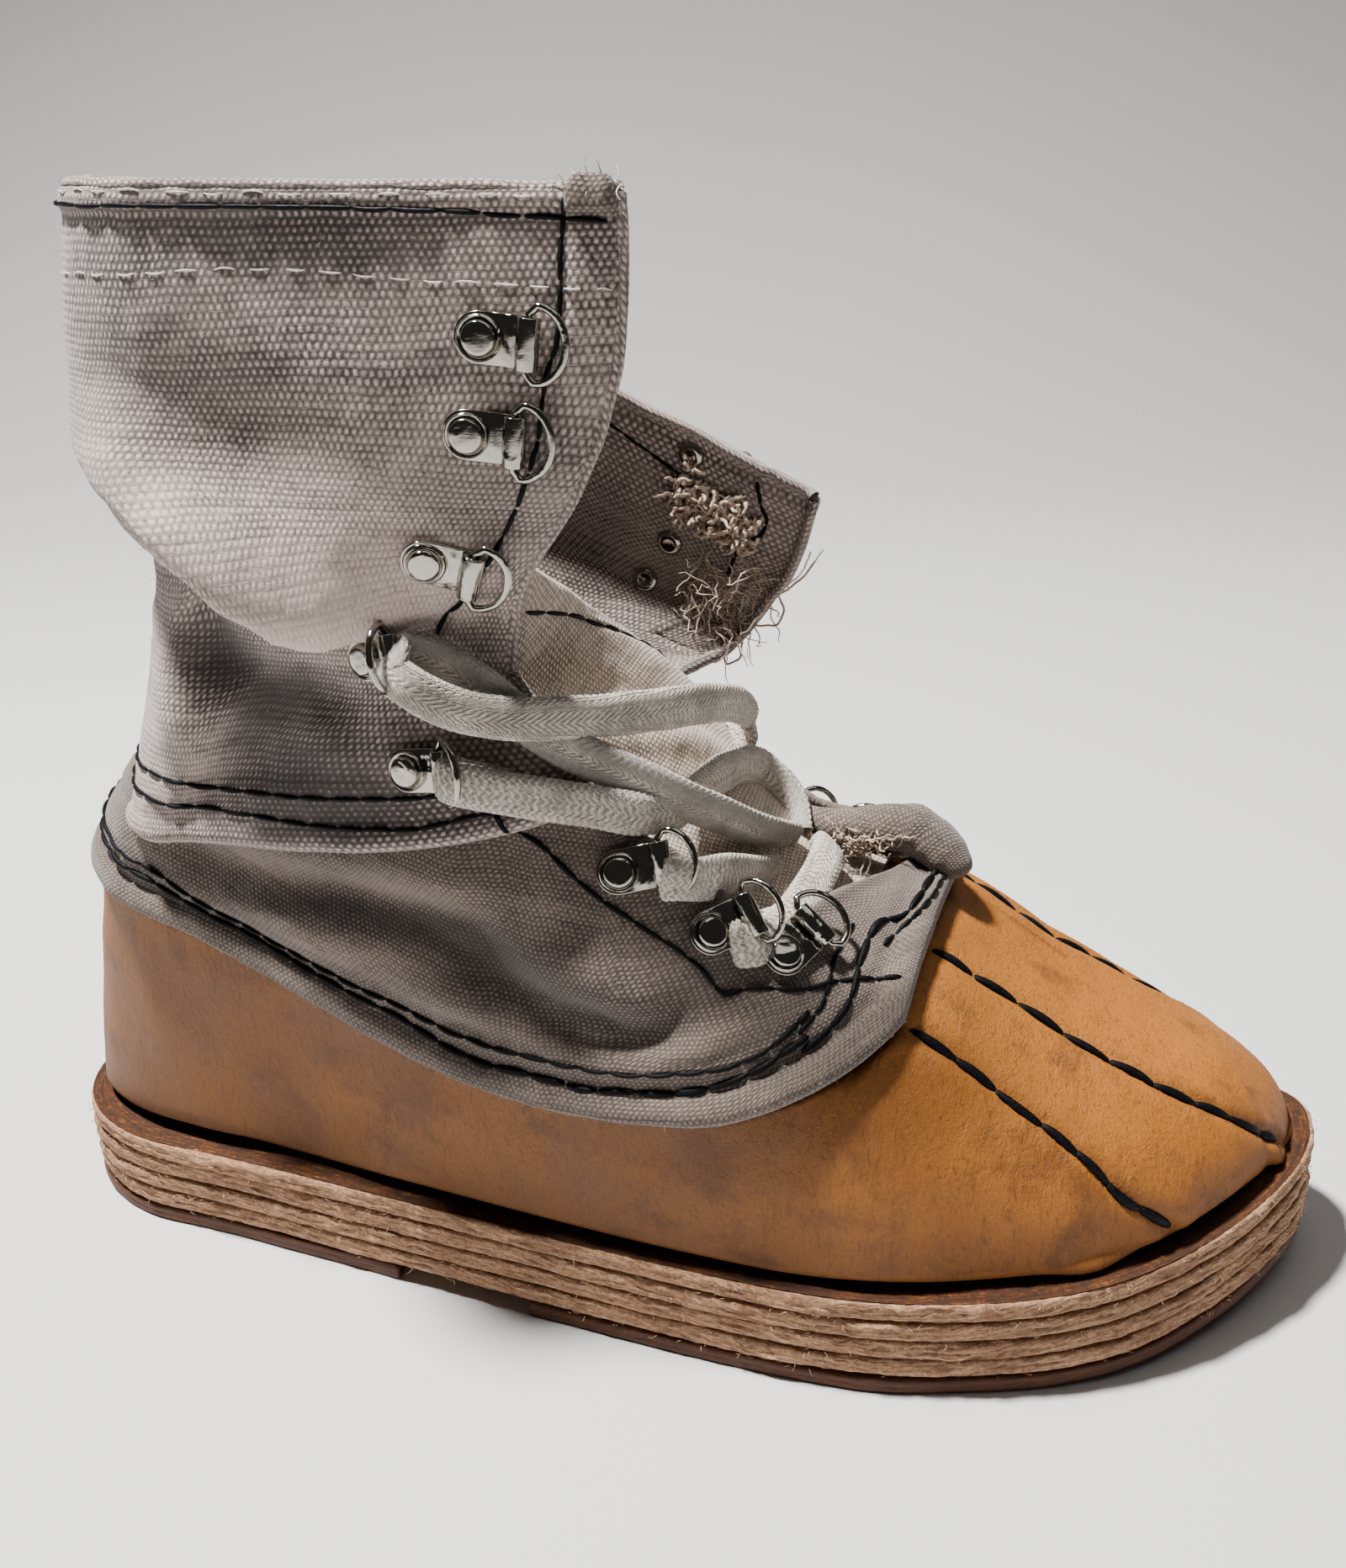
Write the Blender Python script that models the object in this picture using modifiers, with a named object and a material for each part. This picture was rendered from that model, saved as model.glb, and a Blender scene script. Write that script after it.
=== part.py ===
"""Duck boot, right foot: leather sole and lower, canvas quarter, shaft and tongue, D-ring clips, flat lace.

Tables and lengths are in millimetres from the back of the sole, toe towards +X, the foot's outer side at -Y,
floor at Z = 0. place() turns them into metres, with the origin on the floor under the heel tread's middle.
"""

import math

import bmesh
import bpy
import numpy as np
from mathutils import Matrix

MM = 0.001
GAP = 0.3  # between pieces that lie on each other

# Sole
LENGTH = 290.0
TREAD = 3.6
LAYER = 4.2
LAYERS = 4
HEEL_ROUND = 36.0  # how far in from the back the outline's heel curve starts
TOE_ROUND_OUTER = 62.0
TOE_ROUND_INNER = 110.0
SPRING_START = 217.5
TOE_SPRING = 6.4
HEEL_TREAD_END = 96.3
FOREFOOT_TREAD_START = 128.5
HEEL_CENTRE = 48.0
LEDGE = TREAD + LAYERS * (LAYER + GAP)  # height of the sole's top face
INSOLE = 2.4
INSOLE_INSET = 6.0  # from the foot's widest line

# Upper: height of each cloth's outer face over the leather's outer face, and the walls
LEATHER_WALL = 2.6
CANVAS_WALL = 1.8
QUARTER_LIFT = 3.0
BAND_LIFT = 5.6
TONGUE_WALL = 2.0
FOOT_BACK = 3.0
FOOT_TIP = 285.5
FOOT_HEEL_ROUND = 32.0
FOOT_TOE_ROUND = 60.0
TOE_DROP = 18.0  # length over which the toe's height closes
TUCK_IN = 3.5  # how far the leather turns in under its widest line
TUCK_RISE = 4.0
TUCK_FULL_HALF = 20.0  # half width under which it turns in less
LEATHER_OVERLAP = 12.0  # how far the leather reaches up behind the canvas hem
LEATHER_RISE_START = 172.0  # where its upper edge starts to climb to the ridge
QUARTER_TOP = 107.0
THROAT_CLOSE = 181.0  # where the edges need closer stations
VAMP_START = 205.7  # where the canvas hem leaves the sides to cross the foot
VAMP_CORNER = 0.85  # angle round the section where the hem turns
VAMP_SLANT = 6.3  # how much further forward the canvas ends on the ridge than at that corner
ANKLE_FRONT = 144.0
HEEL_LEAN_END = 95.0
HEEL_LEAN_FADE = 1.6  # how fast the lean fades from the back to there

# Clips and rings
PLATE_WIDTH = 8.6
PLATE_THICK = 0.9
PLATE_BACK = 4.3
BAR_OUT = 8.4  # rivet to ring bar
CURL_OUTER = 2.0
CURL_BORE = 1.1
CURL_END = 195.0
RIVET_RADIUS = 3.5
RIVET_TOP = 2.5
RING_WIRE = 0.7
RING_HALF = 6.2
RING_REACH = 6.6
RING_CORNER = 1.4
RIVET_EDGE = 0.8  # bevel round its top

# Lace: its size, and the instep that it lies on, as a ridge line's place and a radius across it
LACE_WIDTH = 8.0
LACE_THICK = 2.0
INSTEP_RIDGE = 4.0
INSTEP_RADIUS = 26.0
INSTEP_FORWARD = 0.5
INSTEP_UP = 0.8

# Cells of each open surface, along it and up it
OUTLINE_CELLS = 26
LEATHER_ROWS = 7
QUARTER_ROWS = 5
SHAFT_CELLS = (40, 9)
TONGUE_CELLS = (8, 9)
LACE_CELLS = 8


def table(columns, *rows):
    """A short table of sections, read by column name."""
    return {name: np.array(values, float) for name, values in zip(columns.split(), zip(*rows))}


# The outline's middle line and half width, at shares of the length
OUTLINE = table(
    "at middle half",
    (0.00, 0.0, 30.4),
    (0.15, 0.1, 35.7),
    (0.35, -2.4, 41.7),
    (0.55, -4.4, 48.3),
    (0.70, -0.7, 54.5),
    (0.85, 3.8, 48.5),
    (1.00, 15.2, 38.2),
)

# The foot's sections: widest line in from the sole's edge, ridge height, squareness, ridge off the middle
FOOT = table(
    "x inset ridge square across",
    (5, 7.0, 300, 2.6, 0),
    (30, 6.5, 290, 2.6, 0),
    (60, 5.5, 255, 2.6, 0),
    (95, 4.0, 205, 2.5, 2),
    (130, 3.0, 156, 2.4, 5),
    (145, 2.7, 138, 2.4, 7),
    (160, 2.5, 119, 2.4, 9),
    (170, 2.5, 104, 2.5, 10),
    (180, 2.5, 94, 2.5, 11),
    (190, 2.7, 88.5, 2.4, 12),
    (200, 3.2, 85, 2.3, 13),
    (212, 3.7, 79, 2.15, 14),
    (223, 4.3, 72, 2.15, 14),
    (241, 5.0, 61, 2.2, 12),
    (259, 6.0, 50.5, 2.2, 9),
    (268, 6.4, 46, 2.2, 7),
    (277, 6.5, 42, 2.2, 5),
    (285, 6.5, 39, 2.2, 3),
)

# How far the heel's back leans forward with height
LEAN = table(
    "z forward",
    (21, 0),
    (40, 2.6),
    (59, 6),
    (74, 9.3),
    (86, 13),
    (97, 20),
    (104, 26),
    (112, 31),
    (125, 34),
    (140, 38),
)

# The canvas hem over the leather, and the throat's edge as an angle round the section
HEM = table(
    "x z",
    (5, 82),
    (27, 82),
    (54, 76.2),
    (77.5, 69.4),
    (98.5, 61.8),
    (118, 56.1),
    (137, 53.9),
    (155, 54.5),
    (172, 56.7),
    (183, 60.5),
    (195.2, 65.8),
    (205.7, 71.8),
)
THROAT = table(
    "x angle",
    (139, 0.76),
    (151, 0.84),
    (161, 0.95),
    (172, 1.00),
    (181, 1.08),
    (187, 1.24),
    (194, 1.40),
    (199, math.pi / 2),
)

# The shaft's levels: its back, its near and far front edges, its half width on each side, and how late
# along each side a level climbs from the back's height to the edge's
SHAFT = table(
    "at back_x back_z near_x near_z near_y near_half far_half far_x far_z far_y climb",
    (0.00, 32, 101, 144, 114.5, 38, 43, 42, 142, 108, 40, 4),
    (0.10, 34, 111, 139, 121, 38, 42.5, 41, 144, 114, 41, 2),
    (0.25, 39, 131, 132, 136, 37, 40, 41, 149, 116, 46, 1),
    (0.37, 43, 146, 133, 149, 37, 39, 44, 154, 119, 52, 1),
    (0.45, 47, 156, 136, 157, 39, 45, 50, 157, 122, 56, 1),
    (0.55, 43, 171, 144, 168, 42, 48, 54, 160, 126, 57, 1),
    (0.65, 38, 184, 150, 177, 43, 47.5, 54, 163, 130, 56, 1),
    (0.80, 38, 200, 158, 200, 42, 46, 50, 169, 138, 54, 1),
    (0.90, 39, 214, 159, 213, 41, 45, 48, 173, 147, 52, 1),
    (1.00, 41.5, 229, 159, 224, 40, 44, 46, 176, 157, 50, 1),
)
SHAFT_TURN = 0.42  # share of each half that goes round the back
SHAFT_ROUND = 36.0
BAND_BLEND = (0.1, 0.3)  # levels over which the ankle band becomes the leg

# The tongue's rows from the vamp up: outer edge, middle and inner edge
TONGUE = table(
    "near_x near_y near_z mid_x mid_y mid_z far_x far_y far_z",
    (196, -19, 75, 196, 10, 82, 196, 28.5, 76),
    (186, -23, 78.5, 186, 9, 86.5, 186, 28, 80),
    (176, -27, 85, 176, 7.5, 94, 176, 28, 86.5),
    (165, -29, 94, 166, 6, 104.5, 168, 27, 94.5),
    (154, -29, 107, 158, 4, 116.5, 162, 26, 101),
    (143, -28, 124, 150, 3, 127, 158, 26, 107),
    (136, -27, 142, 145, 2, 134, 155, 26, 112),
    (132.6, -25, 159, 141.2, 1.5, 140, 152.4, 26, 117),
)

# Clips from the top down. On the shaft: place round it, and level on its outer and inner side; on the
# quarter: x and angle round the section. Then how far the plate stands off the cloth, its turn, yaw and
# roll there and its ring's lift, in degrees.
SHAFT_CLIPS = table(
    "round outer_level inner_level stand turn yaw roll lift",
    (0.84, 0.812, 0.95, 1.1, -8, 3, 3, 6),
    (0.84, 0.707, 0.72, 1.1, -5, 3, 3, 6),
    (0.81, 0.513, 0.53, 1.2, -18, 6, 0, 8),
    (0.72, 0.334, 0.33, 3.1, 10, -24, -8, 75),
    (0.83, 0.143, 0.12, 2.2, 0, -10, 5, 35),
)
QUARTER_CLIPS = table(
    "x outer_angle inner_angle stand turn yaw roll lift",
    (151.8, 0.74, 0.50, 0.9, 55, -2, 2, 20),
    (168.6, 0.82, 0.56, 1.1, 70, 2, 0, 50),
    (182.0, 0.93, 0.64, 0.9, 70, 0, 0, 6),
)

# The lace's bars over the tongue, as points along the middle of each
LACE_TOP_BAR = table(
    "x y z",
    (121, -47, 137),
    (131, -43, 135.5),
    (144, -31, 132),
    (156, -12, 128),
    (160, 8, 123),
    (163, 26, 116),
)
LACE_LOW_BAR = table(
    "x y z",
    (128, -48, 122.5),
    (146, -39.5, 117.5),
    (159, -30.5, 111.5),
    (166, -17, 109),
    (172, 3, 104.5),
)
LACE_DOWN = table("x y z", (149, -31.5, 121), (160, -27, 113.5), (169.5, -19.5, 105), (179, -11, 97.5))
LACE_LOWER = table("x y z", (170.5, -30, 101.5), (175, -21, 99), (180, -10, 96.5))
LACE_BOTTOM_BAR = table("x y z", (184, -24.5, 98.5), (186, -18, 98), (188.5, -7, 95.5))

# Colours of each material: red, green, blue, roughness, metallic
FINISHES = {
    "natural_leather": (0.62, 0.36, 0.19, 0.55, 0.0),
    "sole_leather": (0.55, 0.38, 0.24, 0.8, 0.0),
    "tread_leather": (0.36, 0.21, 0.13, 0.6, 0.0),
    "canvas": (0.42, 0.36, 0.31, 0.9, 0.0),
    "tongue_canvas": (0.46, 0.38, 0.30, 0.9, 0.0),
    "nickel": (0.55, 0.54, 0.52, 0.25, 1.0),
    "cotton_lace": (0.74, 0.70, 0.64, 0.9, 0.0),
}


def place(points):
    """Millimetres from the sole's back to metres from the origin."""
    return (np.asarray(points, float) - (HEEL_CENTRE, 0, 0)) * MM


def smooth(sections, by, column, at):
    """Reads a column along another one, on a curve through the rows that never overshoots them."""
    xs = sections[by]
    ys = sections[column]
    at = np.clip(np.asarray(at, float), xs[0], xs[-1])
    step = np.diff(xs)
    slope = np.diff(ys) / step
    before = slope[:-1]
    after = slope[1:]
    turning = before * after <= 0
    early = 2 * step[1:] + step[:-1]
    late = step[1:] + 2 * step[:-1]
    mean = (early + late) / (early / np.where(turning, 1, before) + late / np.where(turning, 1, after))
    tangent = np.concatenate([slope[:1], np.where(turning, 0, mean), slope[-1:]])
    row = np.clip(np.searchsorted(xs, at) - 1, 0, len(xs) - 2)
    t = (at - xs[row]) / step[row]
    start = (2 * t**3 - 3 * t**2 + 1) * ys[row] + (t**3 - 2 * t**2 + t) * step[row] * tangent[row]
    end = (3 * t**2 - 2 * t**3) * ys[row + 1] + (t**3 - t**2) * step[row] * tangent[row + 1]
    return start + end


def ease(share):
    share = np.clip(share, 0, 1)
    return share * share * (3 - 2 * share)


def rounding(share, power=2.2):
    """A full round end: 1 at share 0, 0 at share 1."""
    return (1 - np.clip(share, 0, 1) ** power) ** (1 / power)


def ends(x, back, tip, back_round, tip_round):
    return rounding((back + back_round - x) / back_round) * rounding((x - (tip - tip_round)) / tip_round)


def spring(x):
    """Height of the toe spring at x."""
    return TOE_SPRING * np.clip((x - SPRING_START) / (LENGTH - SPRING_START), 0, 1) ** 2


def sole_half(x, side):
    """Half width of the sole; the toe's inner side runs straighter into the tip than its outer side."""
    toe_round = np.where(side < 0, TOE_ROUND_OUTER, TOE_ROUND_INNER)
    return smooth(OUTLINE, "at", "half", x / LENGTH) * ends(x, 0, LENGTH, HEEL_ROUND, toe_round)


def middle(x):
    return smooth(OUTLINE, "at", "middle", x / LENGTH)


def foot_half(x, lift):
    """Half width of the foot's widest line, on a surface that stands lift proud of the leather."""
    half = smooth(OUTLINE, "at", "half", x / LENGTH) - smooth(FOOT, "x", "inset", x) + lift
    back_round = FOOT_HEEL_ROUND + lift
    toe_round = FOOT_TOE_ROUND + lift
    return half * ends(x, FOOT_BACK - lift, FOOT_TIP + lift, back_round, toe_round)


def insole_half(x, side):
    return foot_half(x, -INSOLE_INSET)


def foot_section(x, lift):
    """Floor of the section, its ridge height and the rise of its widest line."""
    floor = LEDGE + GAP + spring(x)
    tip = FOOT_TIP + lift
    drop = TOE_DROP + lift
    ridge = smooth(FOOT, "x", "ridge", x) + lift
    ridge = floor + (ridge - floor) * rounding((x - (tip - drop)) / drop)
    return floor, ridge, np.minimum(TUCK_RISE, 0.25 * (ridge - floor))


def foot(x, side, angle, lift=0.0):
    """A point of the foot. angle 0 is the widest line, pi / 2 the ridge, -1 the leather's turned-in edge."""
    floor, ridge, rise = foot_section(x, lift)
    half = foot_half(x, lift)
    rounded = ends(x, FOOT_BACK - lift, FOOT_TIP + lift, FOOT_HEEL_ROUND + lift, FOOT_TOE_ROUND + lift)
    across = smooth(FOOT, "x", "across", x) * rounded
    power = 2 / smooth(FOOT, "x", "square", x)
    up = np.clip(angle, 0, math.pi / 2)
    under = np.clip(-angle, 0, 1)
    narrowing = np.minimum(1, half / TUCK_FULL_HALF)
    y = (half - side * across) * np.cos(up) ** power - TUCK_IN * under**2 * narrowing
    z = floor + rise + (ridge - floor - rise) * np.sin(up) ** power - rise * under
    heel = np.clip(1 - (x - FOOT_BACK) / (HEEL_LEAN_END - FOOT_BACK), 0, 1)
    slope = (smooth(LEAN, "z", "forward", z + 1) - smooth(LEAN, "z", "forward", z - 1)) / 2
    forward = smooth(LEAN, "z", "forward", z) - lift * (np.sqrt(1 + slope**2) - 1)
    return np.stack([x + forward * heel**HEEL_LEAN_FADE, middle(x) + side * (y + side * across), z], -1)


def angle_at(x, z, lift=0.0):
    """Angle round the section at x where it reaches height z."""
    floor, ridge, rise = foot_section(x, lift)
    share = np.clip((z - floor - rise) / np.maximum(ridge - floor - rise, GAP), 0, 1)
    return np.arcsin(share ** (smooth(FOOT, "x", "square", x) / 2))


def ankle(round_share, side, z):
    """The foot's own form at height z, where the shaft's band lies on it."""
    reach = HEEL_ROUND + 2
    behind = reach * (1 - np.cos(np.clip(round_share / SHAFT_TURN, 0, 1) * math.pi / 2))
    ahead = np.clip((round_share - SHAFT_TURN) / (1 - SHAFT_TURN), 0, 1)
    x = FOOT_BACK - BAND_LIFT + behind + (ANKLE_FRONT - FOOT_BACK + BAND_LIFT - reach) * ahead
    return foot(x, side, angle_at(x, z, BAND_LIFT), BAND_LIFT)


def shaft(turned, level):
    """A point of the shaft. turned -1 is its outer front edge, 0 the back, 1 the inner edge; level 1 its top."""
    turned, level = np.broadcast_arrays(np.asarray(turned, float), np.asarray(level, float))
    read = {column: smooth(SHAFT, "at", column, level) for column in SHAFT}
    near = turned < 0
    side = np.where(near, -1.0, 1.0)
    half = np.where(near, read["near_half"], read["far_half"])
    edge_x = np.where(near, read["near_x"], read["far_x"])
    edge_y = np.where(near, read["near_y"], read["far_y"])
    edge_z = np.where(near, read["near_z"], read["far_z"])
    round_share = np.abs(turned)
    turn = np.clip(round_share / SHAFT_TURN, 0, 1) * math.pi / 2
    ahead = np.clip((round_share - SHAFT_TURN) / (1 - SHAFT_TURN), 0, 1)
    x = read["back_x"] + SHAFT_ROUND * (1 - np.cos(turn)) + (edge_x - read["back_x"] - SHAFT_ROUND) * ahead
    y = half * np.sin(turn) + (edge_y - half) * ahead**2
    share = np.clip((x - read["back_x"]) / (edge_x - read["back_x"]), 0, 1)
    z = read["back_z"] + (edge_z - read["back_z"]) * share ** read["climb"]
    leg = ease((level - BAND_BLEND[0]) / (BAND_BLEND[1] - BAND_BLEND[0]))[..., None]
    return np.stack([x, side * y, z], -1) * leg + ankle(round_share, side, z) * (1 - leg)


def along_foot(front, lift):
    """Stations from the heel's back to front, closer together where the outline turns."""
    heel = FOOT_HEEL_ROUND * (1 - np.cos(np.linspace(0, math.pi / 2, 7)))
    sides = np.linspace(FOOT_BACK + FOOT_HEEL_ROUND, THROAT_CLOSE, 13)
    vamp = np.linspace(THROAT_CLOSE, VAMP_START, 5)
    toe = VAMP_START + (FOOT_TIP - VAMP_START) * np.sin(np.linspace(0, math.pi / 2, 11))
    x = np.unique(np.concatenate([FOOT_BACK + heel, sides, vamp, toe]).round(4))
    x = x[x <= front + 0.01]
    return FOOT_BACK - lift + (x - FOOT_BACK) * (FOOT_TIP - FOOT_BACK + 2 * lift) / (FOOT_TIP - FOOT_BACK)


def canvas_hem(x, lift):
    """Angle of the canvas quarter's lower edge."""
    return angle_at(x, smooth(HEM, "x", "z", x), lift)


def canvas_top(x, lift):
    """Angle of its upper edge: inside the ankle band, then along the throat."""
    throat = smooth(THROAT, "x", "angle", x)
    return np.where(x < THROAT["x"][0], np.minimum(angle_at(x, QUARTER_TOP, lift), throat), throat)


def leather_top(x, lift):
    """Angle of the leather's upper edge, hidden behind the canvas."""
    behind_hem = angle_at(x, smooth(HEM, "x", "z", x) + LEATHER_OVERLAP, lift)
    share = np.clip((x - LEATHER_RISE_START) / (VAMP_START - LEATHER_RISE_START), 0, 1)
    return behind_hem + (math.pi / 2 - behind_hem) * share


def material(name):
    finish = bpy.data.materials.new(name)
    finish.use_nodes = True
    red, green, blue, roughness, metallic = FINISHES[name]
    shader = finish.node_tree.nodes["Principled BSDF"]
    shader.inputs["Base Color"].default_value = (red, green, blue, 1)
    shader.inputs["Roughness"].default_value = roughness
    shader.inputs["Metallic"].default_value = metallic
    finish.diffuse_color = (red, green, blue, 1)
    return finish


def add_object(name, mesh, finish, collection):
    made = bpy.data.objects.new(name, mesh)
    if not mesh.materials:
        mesh.materials.append(bpy.data.materials.get(finish) or material(finish))
    collection.objects.link(made)
    return made


def mesh_of(bm, name):
    mesh = bpy.data.meshes.new(name)
    bm.to_mesh(mesh)
    bm.free()
    mesh.shade_smooth()
    mesh.set_sharp_from_angle(angle=math.radians(40))
    return mesh


def add_grid(bm, columns, rows, surface):
    """A grid of cells whose vertices are moved to surface(u, v), with u and v from 0 to 1."""
    made = bmesh.ops.create_grid(bm, x_segments=columns, y_segments=rows, size=0.5)["verts"]
    share = np.array([vertex.co[:2] for vertex in made]) + 0.5
    for vertex, point in zip(made, place(surface(share[:, 0], share[:, 1]))):
        vertex.co = point


def thicken(made, wall, offset=-1.0):
    walls = made.modifiers.new("wall", "SOLIDIFY")
    walls.thickness = wall * MM
    walls.offset = offset
    walls.use_even_offset = True


def add_shell(name, grids, wall, finish, collection):
    """An open surface of one or more grids, merged where they meet, with its wall inside it."""
    bm = bmesh.new()
    for columns, rows, surface in grids:
        add_grid(bm, columns, rows, surface)
    bmesh.ops.remove_doubles(bm, verts=bm.verts, dist=0.0001)
    bmesh.ops.recalc_face_normals(bm, faces=bm.faces)
    made = add_object(name, mesh_of(bm, name), finish, collection)
    thicken(made, wall)
    return made


def foot_grids(front, slant, rows, low, high, lift):
    """Both halves of the foot between two edges that are given as angles along it, the front edge slanted."""
    stations = along_foot(front, lift)
    cells = len(stations) - 1

    def surface(side):
        def at(u, v):
            x = stations[np.rint(u * cells).astype(int)]
            bottom = low(x, lift)
            angle = bottom + (high(x, lift) - bottom) * v
            over_vamp = np.clip((angle - VAMP_CORNER) / (math.pi / 2 - VAMP_CORNER), 0, 1)
            near_front = ease((x - THROAT_CLOSE) / (VAMP_START - THROAT_CLOSE))
            return foot(x + slant * over_vamp * near_front, side, angle, lift)

        return at

    return [(cells, rows, surface(-1)), (cells, rows, surface(1))]


def leather_low(x, lift):
    """The leather's lower edge, turned in under the foot."""
    return np.full_like(x, -1.0)


def add_slab(name, start, end, bottom, thick, half, finish, collection):
    """A flat layer between two stations, across the outline, following the toe spring."""
    bm = bmesh.new()

    def surface(u, v):
        span = end - start
        x = start + span * (1 - np.cos(u * math.pi)) / 2
        side = 2 * np.rint(v) - 1
        return np.stack([x, middle(x) + side * half(x, side), bottom + spring(x)], -1)

    add_grid(bm, OUTLINE_CELLS, 1, surface)
    bmesh.ops.remove_doubles(bm, verts=bm.verts, dist=0.0001)
    grown = bmesh.ops.extrude_face_region(bm, geom=bm.faces[:])["geom"]
    lifted = [item for item in grown if isinstance(item, bmesh.types.BMVert)]
    bmesh.ops.translate(bm, verts=lifted, vec=(0, 0, thick * MM))
    bmesh.ops.recalc_face_normals(bm, faces=bm.faces)
    return add_object(name, mesh_of(bm, name), finish, collection)


def add_sole(collection):
    add_slab("heel_tread", 0, HEEL_TREAD_END, 0, TREAD, sole_half, "tread_leather", collection)
    add_slab("forefoot_tread", FOREFOOT_TREAD_START, LENGTH, 0, TREAD, sole_half, "tread_leather", collection)
    for number in range(LAYERS):
        bottom = TREAD + GAP + number * (LAYER + GAP)
        add_slab(f"sole_layer_{number + 1}", 0, LENGTH, bottom, LAYER, sole_half, "sole_leather", collection)
    start = FOOT_BACK + INSOLE_INSET
    end = FOOT_TIP - INSOLE_INSET
    add_slab("insole", start, end, LEDGE + GAP, INSOLE, insole_half, "natural_leather", collection)


def add_upper(collection):
    leather = foot_grids(FOOT_TIP, 0, LEATHER_ROWS, leather_low, leather_top, 0)
    add_shell("leather_lower", leather, LEATHER_WALL, "natural_leather", collection)
    quarter = foot_grids(VAMP_START, VAMP_SLANT, QUARTER_ROWS, canvas_hem, canvas_top, QUARTER_LIFT)
    add_shell("canvas_quarter", quarter, CANVAS_WALL, "canvas", collection)
    leg = [(*SHAFT_CELLS, lambda u, v: shaft(2 * u - 1, v))]
    add_shell("canvas_shaft", leg, CANVAS_WALL, "canvas", collection)
    add_shell("tongue", [(*TONGUE_CELLS, tongue)], TONGUE_WALL, "tongue_canvas", collection)


def tongue(u, v):
    """A point of the tongue: u from its outer to its inner edge, v from the vamp to its top."""
    rows = dict(TONGUE, row=np.arange(len(TONGUE["mid_x"])))
    row = v * (len(rows["row"]) - 1)
    read = {column: smooth(rows, "row", column, row) for column in TONGUE}
    near, mid, far = (
        np.stack([read[f"{part}_{axis}"] for axis in "xyz"], -1) for part in ("near", "mid", "far")
    )
    across = (2 * u - 1)[..., None]
    return mid + across * (far - near) / 2 + across**2 * ((near + far) / 2 - mid)


def unit(vector):
    return vector / np.linalg.norm(vector)


def clip_frame(surface, toward_edge, up, side, stand, turn, yaw, roll):
    """Matrix of a clip: local X towards the opening's edge, Y along the ring's bar, Z out of the cloth."""
    outward = unit(np.cross(toward_edge, up))
    if outward[1] * side < 0:
        outward = -outward
    x_axis = unit(toward_edge)
    y_axis = np.cross(outward, x_axis)
    basis = Matrix([x_axis, y_axis, outward]).transposed()
    handed = -side  # Y points up on the outer side and down on the inner side
    turned = basis @ Matrix.Rotation(math.radians(turn) * handed, 3, "Z")
    turned = turned @ Matrix.Rotation(math.radians(yaw), 3, "Y")
    turned = turned @ Matrix.Rotation(math.radians(roll) * handed, 3, "X")
    origin = place(surface) + outward * stand * MM
    return Matrix.Translation(origin) @ turned.to_4x4()


def clip_frames(side):
    """Frames and ring lifts of the eight clips on one side, from the top down."""
    frames = []
    small = 0.02
    for round_share, outer_level, inner_level, stand, turn, yaw, roll, lift in zip(*SHAFT_CLIPS.values()):
        at = side * round_share
        level = outer_level if side < 0 else inner_level
        surface = shaft(at, level)
        toward_edge = shaft(at + side * small, level) - shaft(at - side * small, level)
        up = shaft(at, level + small) - shaft(at, level - small)
        frames.append((clip_frame(surface, toward_edge, up, side, stand, turn, yaw, roll), lift))
    for x, outer_angle, inner_angle, stand, turn, yaw, roll, lift in zip(*QUARTER_CLIPS.values()):
        angle = outer_angle if side < 0 else inner_angle
        surface = foot(x, side, angle, QUARTER_LIFT)
        forward = foot(x + 1, side, angle, QUARTER_LIFT) - foot(x - 1, side, angle, QUARTER_LIFT)
        up = foot(x, side, angle + small, QUARTER_LIFT) - foot(x, side, angle - small, QUARTER_LIFT)
        frames.append((clip_frame(surface, forward, up, side, stand, turn, yaw, roll), lift))
    return frames


def arc(centre_x, centre_z, radius, start, end, steps):
    turns = np.radians(np.linspace(start, end, steps + 1))
    return [(centre_x + radius * math.cos(turn), centre_z + radius * math.sin(turn)) for turn in turns]


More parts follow.
